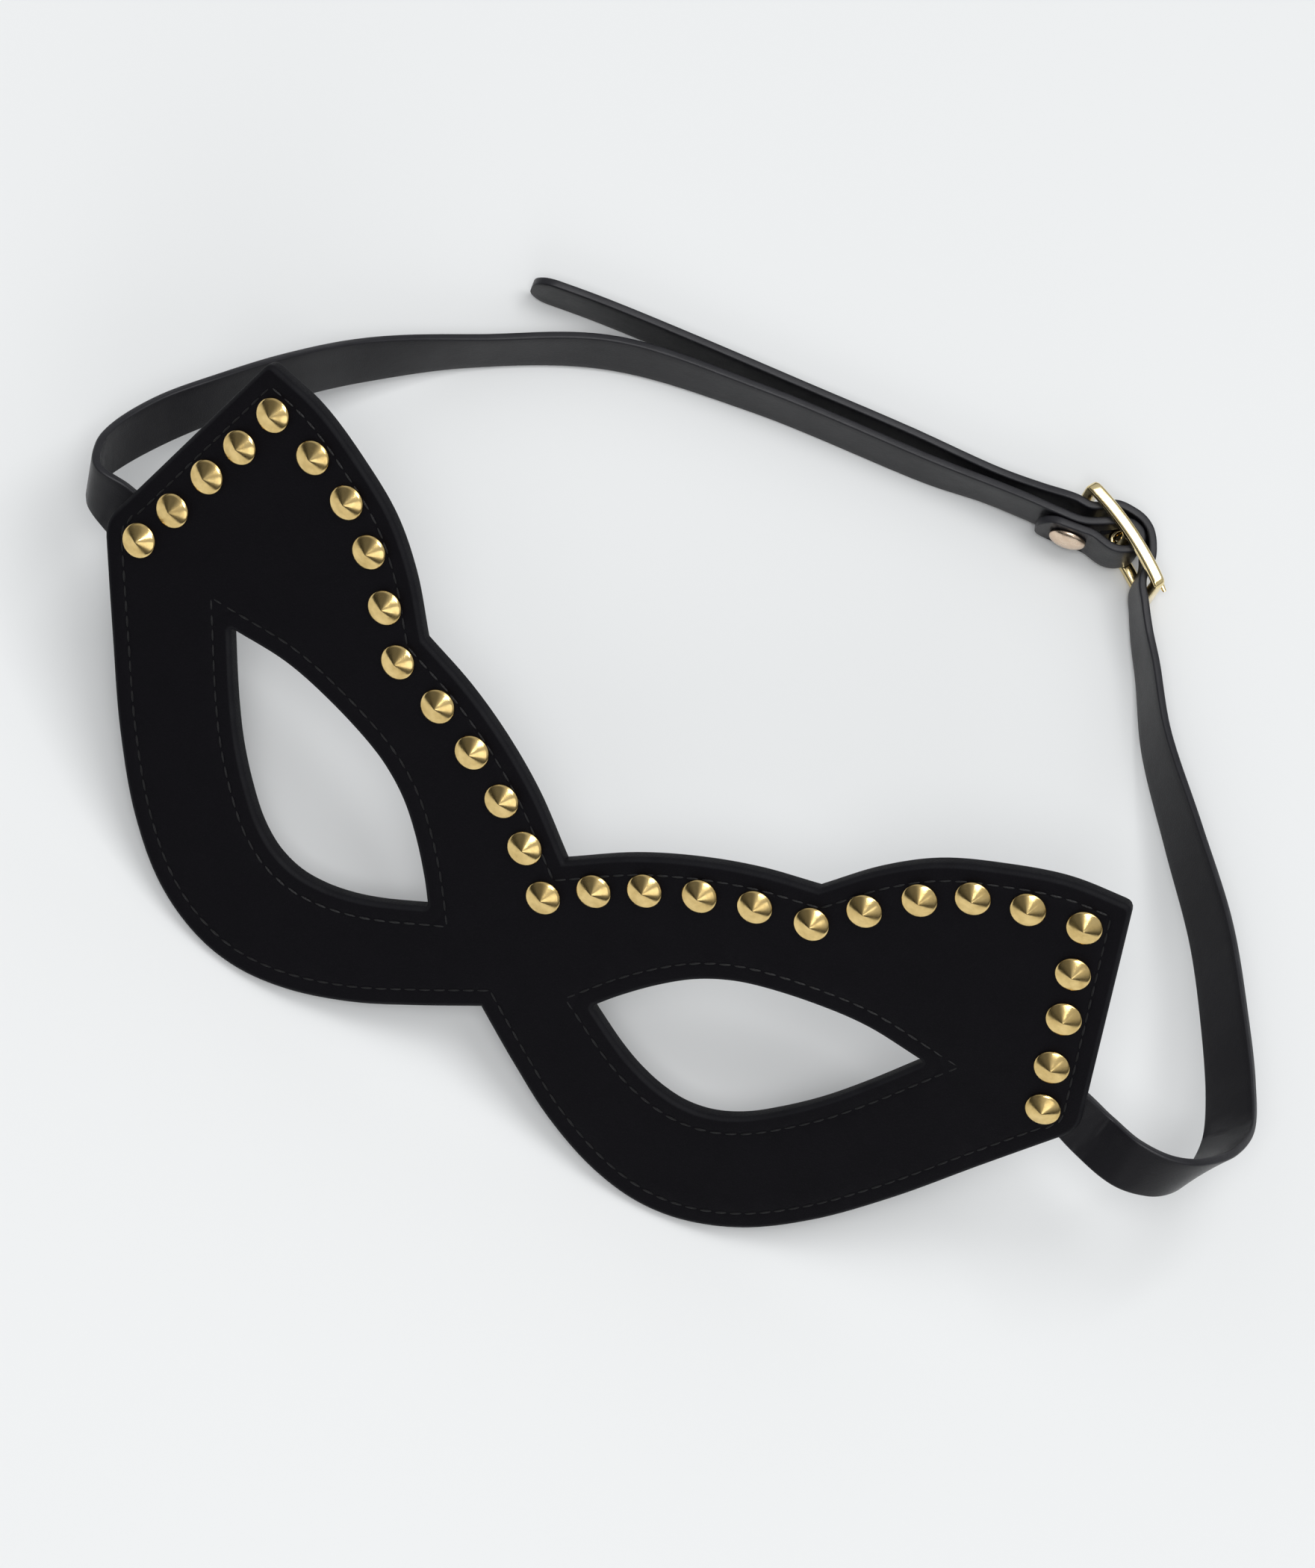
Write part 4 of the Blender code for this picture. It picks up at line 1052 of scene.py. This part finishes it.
def rivet_place():
    """Where the rivet's head sits, with +Z outwards, and how thick the leather
    is that it holds."""
    near, course, outward = rivet_stretch()
    over = STRAP_THICKNESS + LAYER_PLAY + STRAP_THICKNESS / 2 + GAP
    held = near + course * RIVET_PLACE
    seat = buckle_point(*(held + outward * over), BUCKLE_MIDDLE)
    axis = seat - buckle_point(*held, BUCKLE_MIDDLE)
    turn = axis.to_track_quat("Z", "Y").to_matrix().to_4x4()
    return STRAP_PLACE @ Matrix.Translation(seat) @ turn, over + STRAP_THICKNESS / 2 + GAP


def rivet(mat):
    """A domed head, a shank through both layers and a flat back."""
    head, shank, back = RIVET_HEAD / 2, RIVET_SHANK / 2, RIVET_BACK / 2
    placed, stack = rivet_place()
    low = -stack
    profile = [(0.0, low - RIVET_BACK_HEIGHT), (back * 0.75, low - RIVET_BACK_HEIGHT),
               (back, low - RIVET_BACK_HEIGHT * 0.4), (back, low), (shank, low),
               (shank, -0.8 * GAP), (head * 0.93, -0.8 * GAP), (head * 0.985, -0.3 * GAP),
               (head, 0.06 * RIVET_DOME)]
    for k in range(1, 12):
        a = math.radians(7.5 * k)
        profile.append((head * (0.12 + 0.88 * math.cos(a)) - 0.12 * head * (k / 11),
                        RIVET_DOME * (0.06 + 0.94 * math.sin(a) ** 0.9)))
    profile.append((0.0, RIVET_DOME))
    return piece_from(turned(profile, RIVET_SIDES), "rivet_cap", mat, 40, placed)


# Shaders that several finishes share

def leather_grain():
    """Fine pebbles and slow ripples of dyed leather."""
    tree, given, result = nodes_tree("leather_grain", "ShaderNodeTree", [
        ("Pebbles", "Float", 1900.0), ("Pebble Depth", "Float", 0.00003),
        ("Ripples", "Float", 160.0), ("Ripple Depth", "Float", 0.00008)],
        [("Tone", "Float"), ("Normal", "Vector")])
    where = node(tree, "ShaderNodeTexCoord").outputs["Object"]
    stray = node(tree, "ShaderNodeTexNoise", {"Vector": where, "Scale": 700.0, "Detail": 2.0})
    bent = node(tree, "ShaderNodeMix", {0: 0.0006, 4: where, 5: stray.outputs["Color"]},
                data_type="VECTOR")
    cells = node(tree, "ShaderNodeTexVoronoi",
                 {"Vector": bent.outputs[1], "Scale": given["Pebbles"]}, feature="DISTANCE_TO_EDGE")
    dome = spread(tree, cells.outputs["Distance"], 0.0, 0.35, interpolation_type="SMOOTHSTEP")
    slow = clouds(tree, given["Ripples"], 3.0, Roughness=0.55)
    pebble = maths(tree, "MULTIPLY", dome, given["Pebble Depth"])
    height = maths(tree, "MULTIPLY_ADD", slow, given["Ripple Depth"], pebble)
    tone = maths(tree, "MULTIPLY_ADD", dome, 0.3, maths(tree, "MULTIPLY", slow, 0.7))
    connect(tree, result, {"Tone": tone, "Normal": bump(tree, height)})
    return tree


def rubbed_rim():
    """How far a cut edge is lightened, in patches: partly rubbed dye, partly painted highlight."""
    tree, given, result = nodes_tree("rubbed_rim", "ShaderNodeTree", [
        ("Rim", "Float", 0.0), ("Patches", "Float", 220.0)], [("Rubbed", "Float")])
    patch = clouds(tree, given["Patches"], 4.0, Roughness=0.6)
    part = spread(tree, patch, 0.3, 0.7, 0.55, 1.0)
    connect(tree, result, {"Rubbed": maths(tree, "MULTIPLY", given["Rim"], part)})
    return tree


def handled_metal():
    """Smudges and hairline scratches of small polished metal."""
    tree, given, result = nodes_tree("handled_metal", "ShaderNodeTree", [
        ("Smudges", "Float", 450.0), ("Scratches", "Float", 2600.0),
        ("Scratch Depth", "Float", 0.000002), ("Polish", "Float", 0.12),
        ("Dullest", "Float", 0.3)],
        [("Smudge", "Float"), ("Roughness", "Float"), ("Normal", "Vector")])
    smudge = spread(tree, clouds(tree, given["Smudges"], 4.0, Roughness=0.6), 0.35, 0.72)
    rough = spread(tree, smudge, 0.0, 1.0, given["Polish"], given["Dullest"])
    hair = clouds(tree, given["Scratches"], 2.0, Distortion=1.5)
    scratched = bump(tree, maths(tree, "MULTIPLY", hair, given["Scratch Depth"]))
    connect(tree, result, {"Smudge": smudge, "Roughness": rough, "Normal": scratched})
    return tree


# Finishes

def finish(name):
    """A new material with its tree and its shader."""
    mat = bpy.data.materials.new(name)
    mat.use_nodes = True
    return mat, mat.node_tree, mat.node_tree.nodes["Principled BSDF"]


def two_tones(tree, share, low, high):
    """The mix of two colours, each a socket or its red, green and blue."""
    low, high = ((*c, 1.0) if isinstance(c, tuple) else c for c in (low, high))
    return node(tree, "ShaderNodeMix", {0: share, 6: low, 7: high}, data_type="RGBA").outputs[2]


def leather(name, grain, rim, deep, light, edge, rough, pebbles, depth, ripple, specular):
    """Black leather: grain, slow tone changes and a lighter cut edge, partly rubbed dye and partly
    painted highlight.
    """
    mat, tree, bsdf = finish(name)
    skin = node(tree, "ShaderNodeGroup", {"Pebbles": pebbles, "Pebble Depth": depth,
                                          "Ripple Depth": ripple}, node_tree=grain).outputs
    border = node(tree, "ShaderNodeAttribute", attribute_name="rim")
    worn_and_lit = node(tree, "ShaderNodeGroup", {"Rim": border.outputs["Fac"]}, node_tree=rim)
    dyed = two_tones(tree, skin["Tone"], deep, light)
    connect(tree, bsdf.inputs, {
        # The cut edge takes the lighter edge colour: partly rubbed dye, partly painted highlight.
        "Base Color": two_tones(tree, worn_and_lit.outputs["Rubbed"], dyed, edge),
        "Roughness": spread(tree, skin["Tone"], 0.2, 0.8, rough + 0.06, rough - 0.06),
        "Normal": skin["Normal"]})
    bsdf.inputs["Specular IOR Level"].default_value = specular
    return mat


def metal(name, wear, bright, deep, polish, dullest):
    """Plated brass: two tones of gold with smudges and hairlines."""
    mat, tree, bsdf = finish(name)
    used = node(tree, "ShaderNodeGroup", {"Polish": polish, "Dullest": dullest},
                node_tree=wear).outputs
    connect(tree, bsdf.inputs, {"Base Color": two_tones(tree, used["Smudge"], bright, deep),
                                "Roughness": used["Roughness"], "Normal": used["Normal"]})
    bsdf.inputs["Metallic"].default_value = 1.0
    return mat


def waxed_thread():
    """Black thread whose twist follows each stitch."""
    mat, tree, bsdf = finish("waxed_black_thread")
    where = node(tree, "ShaderNodeAttribute", attribute_name="thread_place").outputs["Vector"]
    twist = node(tree, "ShaderNodeTexWave", {"Vector": where, "Scale": 2.2, "Distortion": 0.6},
                 bands_direction="DIAGONAL").outputs["Fac"]
    connect(tree, bsdf.inputs, {
        "Base Color": two_tones(tree, twist, (0.003, 0.003, 0.0035), (0.009, 0.009, 0.010)),
        "Normal": bump(tree, maths(tree, "MULTIPLY", twist, 0.00004))})
    bsdf.inputs["Roughness"].default_value = 0.5
    bsdf.inputs["Specular IOR Level"].default_value = 0.4
    return mat


def table_top():
    mat, tree, bsdf = finish("pale_table")
    pale = two_tones(tree, clouds(tree, 3.0, 2.0), (0.83, 0.845, 0.85), (0.86, 0.87, 0.875))
    connect(tree, bsdf.inputs, {"Base Color": pale})
    bsdf.inputs["Roughness"].default_value = 0.7
    bsdf.inputs["Specular IOR Level"].default_value = 0.2
    return mat


# The studio

def studio():
    """The pale table, the room's light, three softboxes and the camera."""
    scene = bpy.context.scene
    half = 2.5
    mesh = bpy.data.meshes.new("table")
    mesh.from_pydata([(-half, -half, 0), (half, -half, 0), (half, half, 0), (-half, half, 0)],
                     [], [(0, 1, 2, 3)])
    mesh.materials.append(table_top())
    linked("table", mesh)

    world = bpy.data.worlds.new("studio_air")
    scene.world = world
    world.use_nodes = True
    tree = world.node_tree
    look = node(tree, "ShaderNodeTexCoord").outputs["Generated"]
    parts = node(tree, "ShaderNodeSeparateXYZ", {"Vector": look})
    sky = spread(tree, parts.outputs["Z"], 0.12, 0.50, 0.05, 0.50)
    # An unlit corner of the room, in front on the left
    toward = node(tree, "ShaderNodeVectorMath", {0: look, 1: (-0.62, -0.62, 0.48)},
                  operation="DOT_PRODUCT")
    corner = spread(tree, toward.outputs["Value"], 0.82, 0.93, 1.0, 0.30)
    air = tree.nodes["Background"].inputs
    tree.links.new(maths(tree, "MULTIPLY", sky, corner), air["Strength"])
    air["Color"].default_value = (0.98, 0.99, 1.0, 1.0)

    softbox("overhead_softbox", (0.37, 0.66, 2.90), 1.5, 29.0)
    softbox("front_panel", (0.90, -1.56, 1.26), 1.0, 3.4)
    softbox("camera_side_panel", (0.10, -0.95, 2.80), 0.9, 27.0)

    data = bpy.data.cameras.new("camera")
    data.sensor_fit = "VERTICAL"
    data.sensor_height = 36.0
    data.lens = data.sensor_height * 12000 / 2100    # 12000 pixels on a picture 2100 high
    camera = linked("camera", data)
    turn = Matrix(((0.8364917, -0.5474432, 0.0242392), (0.5260214, 0.7897904, -0.3154880),
                   (0.1535678, 0.2766535, 0.9486199)))
    camera.matrix_world = Matrix.Translation((0.0354714, -0.5178765, 1.5297947)) @ turn.to_4x4()
    scene.camera = camera
    scene.view_settings.view_transform = "Standard"
    scene.view_settings.look = "None"


def softbox(name, at, size, power):
    """A square lamp that looks at the middle of the table."""
    data = bpy.data.lights.new(name, "AREA")
    data.shape = "SQUARE"
    data.size = size
    data.energy = power
    lamp = linked(name, data)
    aim = Vector((0, 0, 0)) - Vector(at)
    lamp.matrix_world = Matrix.Translation(at) @ aim.to_track_quat("-Z", "Y").to_matrix().to_4x4()


def main():
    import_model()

    grain, rim, wear = leather_grain(), rubbed_rim(), handled_metal()
    # The edge colours are lighter than the leather: partly rubbed dye, partly painted highlight on
    # the cut edges.
    face_finish = leather("face_leather", grain, rim, deep=(0.0017, 0.0014, 0.0026),
                          light=(0.0034, 0.0029, 0.0047), edge=(0.010, 0.010, 0.012),
                          rough=0.60, pebbles=1900.0, depth=0.00002, ripple=0.00004,
                          specular=0.10)
    strap_finish = leather("strap_leather", grain, rim, deep=(0.0045, 0.0042, 0.0057),
                           light=(0.0085, 0.0081, 0.0106), edge=(0.024, 0.024, 0.028),
                           rough=0.38, pebbles=2600.0, depth=0.00001, ripple=0.00007,
                           specular=0.30)
    stud_finish = metal("stud_brass", wear, (0.83, 0.62, 0.27), (0.62, 0.44, 0.17), 0.12, 0.25)
    buckle_finish = metal("buckle_brass", wear, (0.97, 0.82, 0.48), (0.86, 0.67, 0.31), 0.10, 0.20)
    rivet_finish = metal("rivet_brass", wear, (0.86, 0.69, 0.53), (0.72, 0.54, 0.40), 0.22, 0.38)

    face = leather_face(face_finish)
    sewing = sewn_edges(waxed_thread())
    studs = cone_studs(stud_finish)
    left = strap_with_fold(strap_finish)
    right = strap_with_tail(strap_finish)
    frame = buckle_frame(buckle_finish)
    prong = buckle_prong(buckle_finish)
    cap = rivet(rivet_finish)

    for obj, slot in ((face, "mask_leather"), (sewing, "mask_leather"), (studs, "stud_brass"),
                      (left, "strap_left_leather"), (right, "strap_right_leather"),
                      (frame, "buckle_brass"), (prong, "prong_brass"), (cap, "rivet_brass")):
        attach(obj, "root")
    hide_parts("mask_face")
    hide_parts(*["stud_%02d" % k for k in range(1, 2 * len(STUD_PLACES) + 2)])
    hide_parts("strap_left")
    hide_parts("strap_right")
    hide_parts("buckle_frame")
    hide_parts("buckle_prong")
    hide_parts("loop_rivet")

    studio()


main()
